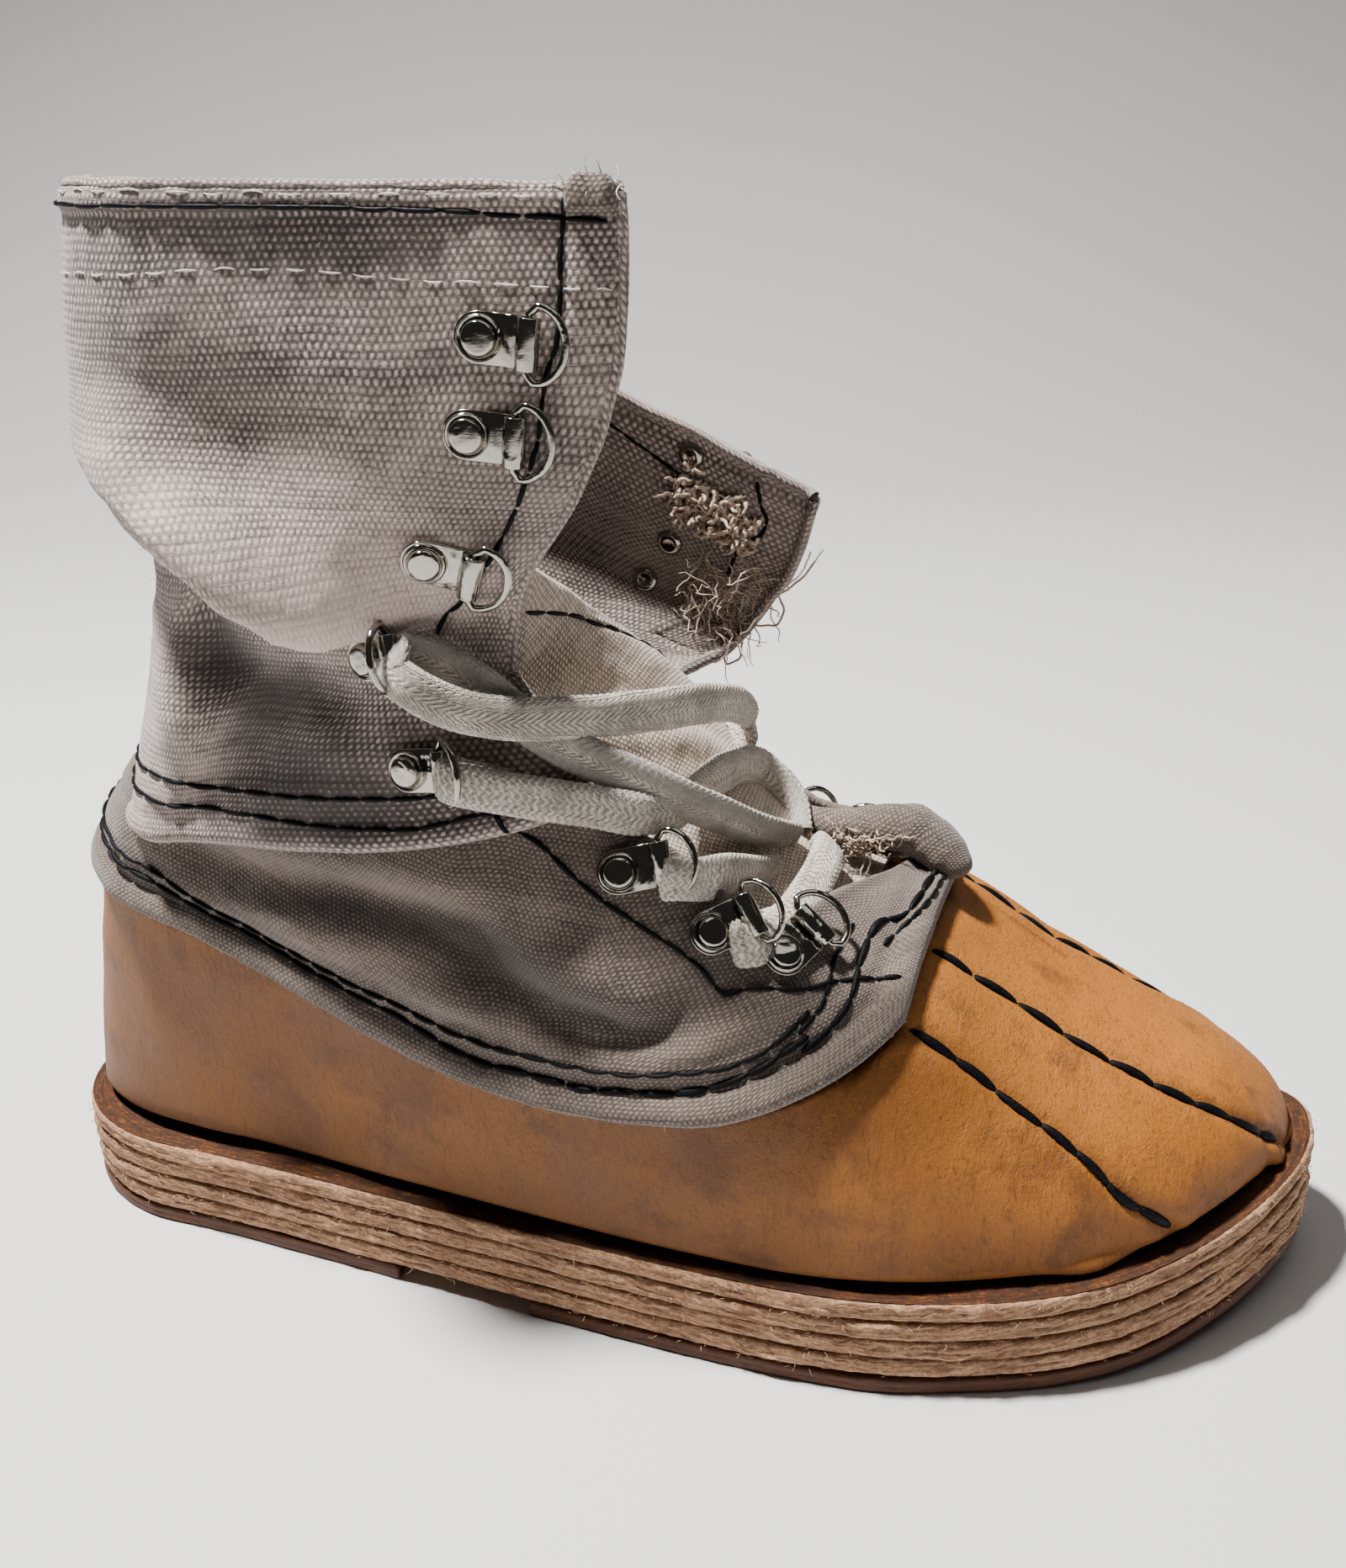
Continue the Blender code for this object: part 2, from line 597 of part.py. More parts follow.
def clip_mesh():
    """A strip bent round the ring's bar, with a round end and a domed rivet."""
    outline = [(-PLATE_BACK, PLATE_THICK), (-PLATE_BACK, 0)]
    outline += arc(BAR_OUT, CURL_OUTER, CURL_OUTER, -90, CURL_END, 7)
    outline += arc(BAR_OUT, CURL_OUTER, CURL_BORE, CURL_END, -90, 6)
    bm = bmesh.new()
    corners = [bm.verts.new((x * MM, -PLATE_WIDTH / 2 * MM, z * MM)) for x, z in outline]
    strip = bm.faces.new(corners)
    grown = bmesh.ops.extrude_face_region(bm, geom=[strip])["geom"]
    moved = [item for item in grown if isinstance(item, bmesh.types.BMVert)]
    bmesh.ops.translate(bm, verts=moved, vec=(0, PLATE_WIDTH * MM, 0))
    back = [
        edge
        for edge in bm.edges
        if all(vertex.co.x < (-PLATE_BACK + 0.01) * MM for vertex in edge.verts)
        and abs(edge.verts[0].co.z - edge.verts[1].co.z) > PLATE_THICK / 2 * MM
    ]
    bmesh.ops.bevel(
        bm, geom=back, offset=0.97 * PLATE_BACK * MM, segments=4, profile=0.5, affect="EDGES", material=-1
    )
    bmesh.ops.recalc_face_normals(bm, faces=bm.faces)
    plate = add_object("plate", mesh_of(bm, "plate"), "nickel", bpy.context.scene.collection)
    dome = bmesh.new()
    sunk = PLATE_THICK / 2
    bmesh.ops.create_cone(
        dome,
        cap_ends=True,
        segments=12,
        radius1=RIVET_RADIUS * MM,
        radius2=RIVET_RADIUS * MM,
        depth=(RIVET_TOP - sunk) * MM,
        matrix=Matrix.Translation((0, 0, (RIVET_TOP + sunk) / 2 * MM)),
    )
    rim = [
        edge for edge in dome.edges if all(vertex.co.z > (RIVET_TOP - 0.01) * MM for vertex in edge.verts)
    ]
    bmesh.ops.bevel(
        dome, geom=rim, offset=RIVET_EDGE * MM, segments=1, profile=0.5, affect="EDGES", material=-1
    )
    rivet = add_object("rivet", mesh_of(dome, "rivet"), "nickel", bpy.context.scene.collection)
    union = plate.modifiers.new("rivet", "BOOLEAN")
    union.operation = "UNION"
    union.object = rivet
    bpy.context.view_layer.update()
    joined = bpy.data.meshes.new_from_object(plate.evaluated_get(bpy.context.evaluated_depsgraph_get()))
    bpy.data.objects.remove(plate)
    bpy.data.objects.remove(rivet)
    return joined


def ring_mesh():
    """A D-ring whose straight bar is on the local Y axis, swept round a closed path."""
    path = [(0, -RING_HALF + RING_CORNER), (0, RING_HALF - RING_CORNER)]
    for turn in np.radians(np.linspace(90, -90, 10)):
        path.append((RING_CORNER + (RING_REACH - RING_CORNER) * math.cos(turn), RING_HALF * math.sin(turn)))
    curve = bpy.data.curves.new("ring", "CURVE")
    curve.dimensions = "3D"
    curve.bevel_depth = RING_WIRE * MM
    curve.bevel_resolution = 1
    spline = curve.splines.new("POLY")
    spline.points.add(len(path) - 1)
    spline.use_cyclic_u = True
    for point, (x, y) in zip(spline.points, path):
        point.co = (x * MM, y * MM, 0, 1)
    guide = bpy.data.objects.new("ring", curve)
    bpy.context.scene.collection.objects.link(guide)
    bpy.context.view_layer.update()
    mesh = bpy.data.meshes.new_from_object(guide.evaluated_get(bpy.context.evaluated_depsgraph_get()))
    bpy.data.objects.remove(guide)
    return mesh


def add_clips(collection):
    clip = clip_mesh()
    ring = ring_mesh()
    ring.materials.clear()
    bar = Matrix.Translation((BAR_OUT * MM, 0, CURL_OUTER * MM))
    for side, name in ((-1, "lateral"), (1, "medial")):
        for number, (frame, lift) in enumerate(clip_frames(side), 1):
            held = add_object(f"{name}_clip_{number}", clip, "nickel", collection)
            held.matrix_world = frame
            swung = add_object(f"{name}_ring_{number}", ring, "nickel", collection)
            swung.matrix_world = frame @ bar @ Matrix.Rotation(-math.radians(lift), 4, "Y")


def ribbon(points):
    """A flat lace over the foot: its points, and its width across them."""
    route = dict(points, at=np.linspace(0, 1, len(points["x"])))

    def surface(u, v):
        centre = np.stack([smooth(route, "at", axis, u) for axis in "xyz"], -1)
        before = np.stack([smooth(route, "at", axis, u - 0.02) for axis in "xyz"], -1)
        after = np.stack([smooth(route, "at", axis, u + 0.02) for axis in "xyz"], -1)
        forward = np.full_like(u, INSTEP_FORWARD)
        aside = (centre[:, 1] - INSTEP_RIDGE) / INSTEP_RADIUS
        outward = np.stack([forward, aside, np.full_like(u, INSTEP_UP)], -1)
        width = np.cross(after - before, outward)
        width /= np.linalg.norm(width, axis=1)[:, None]
        return centre + width * ((v - 0.5) * LACE_WIDTH)[:, None]

    return surface


def add_lace(collection, cutters):
    def bar(name, points, where):
        made = add_shell(name, [(LACE_CELLS, 1, ribbon(points))], LACE_THICK, "cotton_lace", where)
        made.modifiers["wall"].offset = 0
        return made

    bar("lace_top_bar", LACE_TOP_BAR, collection)
    bar("lace_bottom_bar", LACE_BOTTOM_BAR, collection)
    crossings = bar("lace_crossings", LACE_LOW_BAR, collection)
    for number, points in enumerate((LACE_DOWN, LACE_LOWER), 1):
        other = bar(f"lace_run_{number}", points, cutters)
        other.hide_render = True
        other.display_type = "WIRE"
        union = crossings.modifiers.new(f"run {number}", "BOOLEAN")
        union.operation = "UNION"
        union.object = other


def main():
    for old in list(bpy.data.objects):
        bpy.data.objects.remove(old)
    boot = bpy.data.collections.new("duck_boot")
    cutters = bpy.data.collections.new("cutters")
    for collection in (boot, cutters):
        bpy.context.scene.collection.children.link(collection)
    add_sole(boot)
    add_upper(boot)
    add_clips(boot)
    add_lace(boot, cutters)


main()
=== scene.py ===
"""The duck boot's looks: waxed leather, duck canvas, nickel clips, cotton lace, stitching and a rough sole.

Lengths and tables are in millimetres from the back of the sole, with the toe towards +X, the foot's outer
side towards -Y and the floor at Z = 0, as in the solids. place() turns them into metres in the frame.
"""

import math

import bmesh
import bpy
import numpy as np
from mathutils import Matrix, Vector, noise


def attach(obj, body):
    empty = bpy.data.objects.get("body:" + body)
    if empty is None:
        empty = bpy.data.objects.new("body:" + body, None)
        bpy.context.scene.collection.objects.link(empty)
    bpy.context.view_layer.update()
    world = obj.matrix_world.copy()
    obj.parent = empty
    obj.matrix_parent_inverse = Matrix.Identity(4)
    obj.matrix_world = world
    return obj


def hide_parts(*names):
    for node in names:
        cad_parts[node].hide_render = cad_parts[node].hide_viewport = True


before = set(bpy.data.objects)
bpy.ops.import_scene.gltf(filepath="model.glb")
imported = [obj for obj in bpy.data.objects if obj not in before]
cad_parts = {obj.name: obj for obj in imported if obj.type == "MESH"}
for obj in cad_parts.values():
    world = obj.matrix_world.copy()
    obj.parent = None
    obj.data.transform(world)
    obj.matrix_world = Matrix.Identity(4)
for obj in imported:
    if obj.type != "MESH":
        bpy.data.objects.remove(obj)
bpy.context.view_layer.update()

MM = 0.001
GAP = 0.3

# Sole
LENGTH = 290.0
TREAD = 3.6
LAYER = 4.2
LAYERS = 4
HEEL_ROUND = 36.0
TOE_ROUND_OUTER = 62.0
TOE_ROUND_INNER = 110.0
SPRING_START = 217.5
TOE_SPRING = 6.4
HEEL_TREAD_END = 96.3
FOREFOOT_TREAD_START = 128.5
HEEL_CENTRE = 48.0
LEDGE = TREAD + LAYERS * (LAYER + GAP)

# Upper
LEATHER_WALL = 2.4
CANVAS_WALL = 1.6
QUARTER_LIFT = 3.0
BAND_LIFT = 5.6
FOOT_BACK = 3.0
FOOT_TIP = 285.5
FOOT_HEEL_ROUND = 32.0
FOOT_TOE_ROUND = 60.0
TOE_DROP = 18.0
TUCK_IN = 3.5
TUCK_RISE = 4.0
TUCK_FULL_HALF = 20.0
LEATHER_OVERLAP = 12.0
LEATHER_RISE_START = 195.0
QUARTER_TOP = 110.0
THROAT_CLOSE = 181.0
VAMP_START = 205.7
VAMP_CORNER = 0.85
VAMP_SLANT = 6.3
ANKLE_FRONT = 144.0
HEEL_LEAN_END = 95.0
HEEL_LEAN_FADE = 1.6

# Clips, rings and lace
PLATE_WIDTH = 8.6
PLATE_THICK = 0.9
PLATE_BACK = 4.3
BAR_OUT = 8.4
CURL_OUTER = 2.0
CURL_BORE = 1.1
RING_WIRE = 0.7
RING_HALF = 6.2
RING_REACH = 6.6
RING_CORNER = 1.4
LACE_WIDTH = 8.0
LACE_THICK = 3.0
KNIT_PITCH = 1.6
KNIT_RELIEF = 0.055
SEAT_REACH = 8.5
SIDES = ((-1, "lateral"), (1, "medial"))


def table(columns, *rows):
    """A short table of sections, read by column name."""
    return {name: np.array(values, float) for name, values in zip(columns.split(), zip(*rows))}


def tables(columns, *paths):
    """Several tables with the same columns."""
    return tuple(table(columns, *rows) for rows in paths)


OUTLINE = table(
    "at middle half",
    (0.00, 0.0, 30.4), (0.15, 0.1, 35.7), (0.35, -2.4, 41.7), (0.55, -4.4, 48.3), (0.70, -0.7, 54.5),
    (0.85, 3.8, 48.5), (1.00, 15.2, 38.2),
)
FOOT = table(
    "x inset ridge square across",
    (5, 7.0, 300, 2.6, 0), (30, 6.5, 290, 2.6, 0), (60, 5.5, 255, 2.6, 0), (95, 4.0, 205, 2.5, 2),
    (130, 3.0, 156, 2.4, 5), (145, 2.7, 138, 2.4, 7), (160, 2.5, 119, 2.4, 9), (170, 2.5, 104, 2.5, 10),
    (180, 2.5, 94, 2.5, 11), (190, 2.7, 88.5, 2.4, 12), (200, 3.2, 85, 2.3, 13), (212, 3.7, 79, 2.15, 14),
    (223, 4.3, 72, 2.15, 14), (241, 5.0, 61, 2.2, 12), (259, 6.0, 50.5, 2.2, 9), (268, 6.4, 46, 2.2, 7),
    (277, 6.5, 42, 2.2, 5), (285, 6.5, 39, 2.2, 3),
)
LEAN = table(
    "z forward",
    (21, 0), (40, 2.6), (59, 6), (74, 9.3), (86, 13), (97, 20), (104, 26), (107, 29.5), (110, 36),
    (112, 39), (125, 42), (140, 44),
)
HEM = table(
    "x z",
    (0, 88), (5, 87), (15, 85), (27, 82), (54, 76.2), (77.5, 69.4), (98.5, 61.8), (118, 56.1), (137, 53.9),
    (155, 54.5), (172, 56.7), (183, 60.5), (195.2, 65.8), (205.7, 71.8),
)
THROAT = table(
    "x angle",
    (139, 0.76), (151, 0.84), (161, 0.95), (172, 1.00), (181, 1.08), (187, 1.24), (194, 1.40),
    (199, math.pi / 2),
)
SHAFT = table(
    "at back_x back_z near_x near_z near_y near_half far_half far_x far_z far_y climb",
    (0.00, 32, 101, 144, 114.5, 38, 43, 42, 142, 108, 40, 4),
    (0.10, 34, 111, 139, 121, 38, 42.5, 41, 144, 114, 41, 2),
    (0.25, 39, 131, 132, 136, 37, 40, 41, 149, 116, 46, 1),
    (0.37, 43, 146, 133, 149, 37, 39, 44, 154, 119, 52, 1),
    (0.45, 47, 156, 136, 157, 39, 45, 50, 157, 122, 56, 1),
    (0.55, 43, 171, 144, 168, 42, 48, 54, 160, 126, 57, 1),
    (0.65, 38, 184, 150, 177, 43, 47.5, 54, 163, 130, 56, 1),
    (0.80, 38, 200, 158, 200, 42, 46, 50, 169, 138, 54, 1),
    (0.90, 39, 214, 159, 213, 41, 45, 48, 173, 147, 52, 1),
    (1.00, 41.5, 229, 159, 224, 40, 44, 46, 176, 157, 50, 1),
)
SHAFT_TURN = 0.42
SHAFT_ROUND = 36.0
# half way round the shaft, its height, and the flat cloth that its weave is laid out on
SHAFT_HALF_ROUND = 150.0
SHAFT_TALL = 118.0
SHAFT_CLOTH = (300, 124)
# millimetres to one turned and one level for the painted light and soil marks, and to one level for the slump
# and its reach
LIGHT_AND_SOIL_MM = (150, 120)
SLUMP_MM = 122
SLUMP_ABOVE = 11
SLUMP_BELOW = 4.5
CORNER_WALL = 2.4
BAND_BLEND = (0.1, 0.3)
FACING_WIDTH = table("level wide", (0.30, 0), (0.36, 22), (0.46, 14), (0.56, 10.5), (1.0, 10.0))
TONGUE = table(
    "near_x near_y near_z mid_x mid_y mid_z far_x far_y far_z",
    (196, -19, 75, 196, 10, 82, 196, 28.5, 76), (186, -23, 78.5, 186, 9, 86.5, 186, 28, 80),
    (176, -27, 85, 176, 7.5, 94, 176, 28, 86.5), (165, -29, 94, 166, 6, 104.5, 168, 27, 94.5),
    (151, -31, 107, 158, 4, 116.5, 162, 26, 101), (138, -32, 124, 150, 3, 127, 158, 26, 107),
    (131, -31, 142, 145, 2, 134, 155, 26, 112), (132.6, -25, 159, 141.2, 1.5, 140, 152.4, 26, 117),
)
TONGUE_TALL = 90.0
TONGUE_WIDE = 52.0
SHAFT_CLIPS = table(
    "round outer_level inner_level stand turn yaw roll lift",
    (0.84, 0.812, 0.95, 1.1, -8, 3, 3, 6), (0.84, 0.707, 0.72, 1.1, -5, 3, 3, 6),
    (0.81, 0.513, 0.53, 1.2, -18, 6, 0, 8), (0.72, 0.334, 0.33, 3.1, 10, -24, -8, 75),
    (0.83, 0.143, 0.12, 2.2, 0, -10, 5, 35),
)
QUARTER_CLIPS = table(
    "x outer_angle inner_angle stand turn yaw roll lift",
    (151.8, 0.74, 0.50, 0.9, 55, -2, 2, 20), (168.6, 0.82, 0.56, 1.1, 70, 2, 0, 50),
    (182.0, 0.93, 0.64, 0.9, 70, 0, 0, 6),
)
FREE_RINGS = 3

# Folds of the shaft, each a soft path round it and up it, with its half width and its height
SHAFT_FOLDS = tables(
    "turned level wide high",
    # the slump: a roll that hangs over, and the hollow under it
    (
        (-0.05, 0.57, 8, 0.5), (-0.25, 0.56, 9, 1.5), (-0.37, 0.52, 10, 2.0), (-0.45, 0.45, 10, 2.0),
        (-0.56, 0.40, 9, 1.5), (-0.67, 0.40, 8, 1.0), (-0.80, 0.43, 7, 0.3),
    ),
    (
        (-0.16, 0.475, 5, -1.5), (-0.29, 0.44, 6, -4.0), (-0.35, 0.36, 7, -5.5), (-0.44, 0.295, 7, -6.0),
        (-0.58, 0.275, 7, -5.0), (-0.70, 0.30, 5, -2.0),
    ),
    ((-0.24, 0.36, 6, 0.0), (-0.30, 0.25, 8, 2.2), (-0.38, 0.15, 7, 0.8)),
    ((-0.62, 0.25, 5, 0.0), (-0.68, 0.20, 6, 2.0), (-0.76, 0.13, 5, 0.6)),
    ((-0.52, 0.22, 6, -1.2), (-0.60, 0.14, 6, -1.5), (-0.70, 0.07, 5, -0.3)),
    ((-0.74, 0.30, 4, -0.3), (-0.80, 0.22, 4, -1.5), (-0.82, 0.14, 4, -0.6)),
    # long shallow waves higher up
    ((-0.20, 0.80, 12, 0.0), (-0.45, 0.71, 12, -1.8), (-0.70, 0.66, 10, -0.8)),
    ((-0.22, 0.68, 9, 0.0), (-0.50, 0.60, 10, 1.6), (-0.74, 0.55, 9, 0.6)),
    ((-0.40, 0.86, 11, 0.0), (-0.62, 0.80, 12, 1.3), (-0.84, 0.76, 9, 0.2)),
    ((-0.76, 0.60, 6, -0.4), (-0.90, 0.56, 6, -1.4), (-1.00, 0.56, 6, -0.8)),
    ((-0.78, 0.50, 6, 0.2), (-0.92, 0.50, 7, 1.4), (-1.00, 0.49, 6, 0.8)),
    ((-0.84, 0.37, 5, -0.4), (-0.94, 0.40, 5, -1.4), (-1.00, 0.42, 5, -0.8)),
    # the inner side, sagging outwards
    ((0.15, 0.60, 12, 0.0), (0.40, 0.46, 12, -3.0), (0.66, 0.34, 10, -1.5)),
    ((0.20, 0.44, 9, 0.0), (0.42, 0.33, 10, 3.0), (0.70, 0.22, 8, 1.0)),
    ((0.10, 0.32, 8, 0.0), (0.30, 0.20, 8, -2.2), (0.50, 0.12, 8, -0.6)),
    ((0.55, 0.80, 10, 0.0), (0.76, 0.66, 10, 1.8), (0.96, 0.60, 8, 0.4)),
    ((0.62, 0.56, 8, 0.0), (0.80, 0.44, 8, -1.8), (0.98, 0.40, 6, -0.6)),
    ((-0.02, 0.48, 7, -1.6), (0.20, 0.47, 8, -2.4), (0.34, 0.50, 7, -0.4)),
)

SLUMP = table(
    "turned level high",
    (-0.05, 0.60, 0.0), (-0.20, 0.66, 1.5), (-0.30, 0.64, 3.5), (-0.36, 0.60, 6.5), (-0.40, 0.54, 8.5),
    (-0.45, 0.49, 9.5), (-0.53, 0.455, 9.8), (-0.62, 0.43, 9.0), (-0.70, 0.41, 7.0), (-0.78, 0.41, 3.0),
    (-0.86, 0.43, 0.3),
)

# Painted light and shade, with some soiling, on the shaft's outer side and on the quarter: paler and darker
# places with their half widths in millimetres
SHAFT_LIGHT_AND_SOIL = table(
    "turned level wide high tone",
    (-0.65, 0.455, 24, 10, 1.4), (-0.852, 0.43, 14, 14, 0.9), (-0.407, 0.579, 16, 9, 0.5),
    (-0.75, 0.60, 18, 12, 0.35), (-0.335, 0.497, 7, 7, -0.8), (-0.379, 0.327, 9, 8, -0.9),
    (-0.527, 0.226, 12, 10, -0.9), (-0.691, 0.164, 13, 9, -0.8), (-0.743, 0.075, 22, 8, -1.1),
    (-0.30, 0.22, 9, 10, 0.5), (-0.44, 0.13, 9, 7, 0.5), (-0.59, 0.93, 60, 9, -0.5),
    (-0.50, 0.76, 26, 8, -0.4),
)
QUARTER_LIGHT_AND_SOIL = table(
    "x z wide high tone",
    (68, 96, 18, 4, 0.7), (103, 95.4, 20, 3.5, 0.8), (87, 90.5, 14, 3, -0.8), (110, 88.5, 18, 4, -0.9),
    (132, 83.7, 12, 6, -0.8), (90, 83.5, 11, 3, 0.8), (103, 80.5, 10, 3.5, 0.7), (148, 78, 14, 5, -0.6),
    (20, 98, 12, 5, 0.5),
)

# Folds of the quarter's outer side and of its inner side, by place along it and height
QUARTER_FOLDS = tables(
    "x z wide high",
    ((40, 98, 5, 0.0), (62, 95.5, 6, -2.2), (98, 94, 6, -2.8), (122, 89, 6, -1.4)),
    ((46, 104, 5, 0.4), (80, 101, 5, 1.8), (112, 100, 7, 2.4), (144, 99, 8, 1.2)),
    ((36, 92, 5, 0.4), (60, 87.5, 6, 1.8), (92, 83, 7, 2.2), (116, 79, 6, 1.4)),
    ((112, 90, 6, -0.6), (124, 83, 6, -2.4), (134, 77, 5, -3.2), (146, 72, 5, -3.4)),
    ((146, 72, 5, -3.0), (156, 71.5, 5, -3.2), (166, 76, 5, -2.6), (178, 81, 5, -0.6)),
    ((128, 73, 4, 0.3), (142, 67.5, 4, 1.6), (156, 67.5, 4, 2.4), (172, 74, 5, 2.6), (184, 78, 4, 1.0)),
    ((128, 92, 7, 0.4), (146, 84, 7, 2.2), (158, 80, 6, 1.4)),
    ((100, 71, 4, 0.0), (120, 75, 4, 1.6), (130, 72, 4, 0.4)),
    ((160, 92, 5, -0.4), (172, 86, 5, -1.4), (184, 83, 4, -0.6)),
    ((70, 77, 4, -0.2), (96, 70, 4, -1.2), (120, 66, 4, -0.6)),
)
INNER_QUARTER_FOLDS = tables(
    "x z wide high",
    ((30, 96, 6, 0.0), (70, 88, 7, -2.4), (115, 84, 7, -2.2), (150, 80, 6, -0.6)),
    ((40, 84, 6, 0.3), (80, 79, 7, 1.8), (120, 74, 7, 2.0), (156, 72, 6, 0.6)),
    ((120, 90, 6, 0.2), (146, 84, 7, 2.2), (170, 82, 6, 0.8)),
    ((150, 72, 5, -0.4), (168, 75, 5, -2.0), (184, 80, 5, -0.6)),
)
TONGUE_FOLDS = tables(
    "across up wide high",
    ((0.0, 0.84, 4, -0.6), (0.25, 0.74, 4, -1.8), (0.55, 0.60, 4, -1.2), (0.8, 0.46, 4, 0.0)),
    ((0.0, 0.74, 4, 0.5), (0.22, 0.64, 4, 1.6), (0.48, 0.52, 4, 1.0), (0.7, 0.40, 4, 0.0)),
    ((0.30, 0.98, 4, 0.4), (0.62, 0.84, 5, 1.4), (0.86, 0.66, 4, 0.6)),
    ((0.02, 0.62, 3, -0.4), (0.2, 0.52, 3, -1.4), (0.4, 0.42, 3, -0.6)),
)

# Stitch lines round and up the shaft
FACING_LINE = table(
    "turned level",
    (-0.935, 0.985), (-0.93, 0.90), (-0.93, 0.81), (-0.92, 0.764), (-0.93, 0.686), (-0.93, 0.626),
    (-0.925, 0.543), (-0.90, 0.458), (-0.86, 0.40), (-0.845, 0.357),
)
COLLAR_LINE = table(
    "turned level",
    (0.92, 0.965), (0.80, 0.955), (0.60, 0.955), (0.30, 0.97), (0.0, 0.975), (-0.30, 0.975),
    (-0.611, 0.973), (-0.768, 0.969), (-0.868, 0.962), (-0.93, 0.956), (-0.985, 0.951),
)
BAND_LINES = tables(
    "turned level",
    (
        (0.94, 0.09), (0.6, 0.10), (0.2, 0.12), (-0.2, 0.132), (-0.371, 0.124), (-0.47, 0.112),
        (-0.619, 0.101), (-0.743, 0.094), (-0.84, 0.094), (-0.90, 0.106),
    ),
    (
        (0.95, 0.045), (0.6, 0.06), (0.2, 0.08), (-0.2, 0.094), (-0.383, 0.084), (-0.48, 0.074),
        (-0.615, 0.063), (-0.707, 0.050), (-0.84, 0.038), (-0.896, 0.050), (-0.955, 0.038),
    ),
)
BAND_END_LINE = table("turned level", (-0.905, 0.112), (-0.912, 0.07), (-0.925, 0.035), (-0.935, 0.004))
RIM_LINE = table("turned level", (0.96, 0.984), (0.3, 0.988), (-0.3, 0.991), (-0.9, 0.987))
TACKING_LINE = table(
    "turned level",
    (0.96, 0.87), (0.3, 0.885), (-0.114, 0.893), (-0.559, 0.899), (-0.768, 0.881), (-0.99, 0.862),
)
INSIDE_COLLAR_LINE = table(
    "turned level",
    (0.60, 0.955), (0.70, 0.945), (0.764, 0.925), (0.844, 0.899), (0.88, 0.89),
)
INSIDE_FACING_LINE = table(
    "turned level",
    (0.925, 0.97), (0.935, 0.93), (0.95, 0.90), (0.945, 0.86), (0.925, 0.82), (0.93, 0.70),
)
TONGUE_HEM_LINE = table("across up", (0.03, 0.925), (0.3, 0.93), (0.6, 0.92), (0.97, 0.91))
TONGUE_EDGE_LINE = table("across up", (0.93, 0.9), (0.93, 0.6), (0.93, 0.3), (0.93, 0.05))

# Stitch lines on the quarter: place along it and height
THICK_LINE = table(
    "x z",
    (0.03, 97.7), (0.5, 97.6), (2.2, 97.3), (8, 96), (17, 94), (28.5, 90.6), (54.3, 83.1), (78.2, 76.2),
    (99.2, 69.5), (118.3, 62.6), (135.2, 60.8), (146.1, 60.3), (165.2, 62.4), (178, 66.8), (188.5, 72.4),
)
THIN_LINE = table(
    "x z",
    (0.03, 100.2), (0.5, 100.1), (2.2, 99.8), (8, 98.5), (17, 96.5), (28.5, 93.2), (54.3, 85.8),
    (78.2, 78.9), (99.2, 72.4), (112, 68.6), (126, 65.6), (142.7, 65.2), (153.3, 65.1), (168.4, 67),
    (182.4, 71.5), (188.0, 76.0),
)

LOWER_FACING_LINE = table(
    "x angle",
    (121, 0.60), (129.8, 0.63), (138, 0.65), (146.5, 0.64), (156, 0.66), (167.5, 0.70), (172, 0.69),
    (178, 0.78), (187.4, 0.86), (193.2, 0.93), (203.5, 0.985),
)
THICK_FRONT_LINE = table(
    "x angle",
    (187.5, 0.65), (193, 0.78), (195.4, 0.88), (196.5, 1.05), (198.7, 1.18), (203.3, 1.25), (206.0, 1.40),
    (208.0, 1.56),
)
THIN_FRONT_LINE = table("x angle", (186.5, 0.70), (190.5, 0.84), (191.4, 0.97), (192.6, 1.10), (194, 1.16))
SECOND_FRONT_LINE = table("x angle", (200.2, 1.10), (204.0, 1.22), (207.0, 1.34), (209.2, 1.50))

# The toe's seams: along the foot, and angle round it, on the outer and on the inner side
NEAR_SEAM = table(
    "x angle", (206.2, 0.85), (219.4, 0.78), (236, 0.62), (244.2, 0.44), (253.5, 0.18), (258.5, 0.0)
)
CENTRE_SEAM = table(
    "x angle",
    (209.0, 1.20), (215.8, 1.18), (233.0, 1.14), (242.0, 1.10), (250.6, 1.04), (260.0, 0.96), (268.0, 0.86),
    (277.0, 0.62), (281.5, 0.35),
)
FAR_SEAM = table(
    "x z", (208.0, 80), (215, 76.4), (222, 72), (232, 66), (241, 60), (252, 52.4), (262, 44.5), (270, 35)
)
SEAM_STITCH = 11.5


# Curves and surfaces


def place(points):
    """Millimetres from the sole's back to metres from the origin."""
    return (np.asarray(points, float) - (HEEL_CENTRE, 0, 0)) * MM


def smooth(sections, by, column, at):
    """Reads a column along another one, on a curve through the rows that never overshoots them."""
    xs = sections[by]
    ys = sections[column]
    at = np.clip(np.asarray(at, float), xs[0], xs[-1])
    step = np.diff(xs)
    slope = np.diff(ys) / step
    before = slope[:-1]
    after = slope[1:]
    turning = before * after <= 0
    early = 2 * step[1:] + step[:-1]
    late = step[1:] + 2 * step[:-1]
    mean = (early + late) / (early / np.where(turning, 1, before) + late / np.where(turning, 1, after))
    tangent = np.concatenate([slope[:1], np.where(turning, 0, mean), slope[-1:]])
    row = np.clip(np.searchsorted(xs, at) - 1, 0, len(xs) - 2)
    t = (at - xs[row]) / step[row]
    start = (2 * t**3 - 3 * t**2 + 1) * ys[row] + (t**3 - 2 * t**2 + t) * step[row] * tangent[row]
    end = (3 * t**2 - 2 * t**3) * ys[row + 1] + (t**3 - t**2) * step[row] * tangent[row + 1]
    return start + end


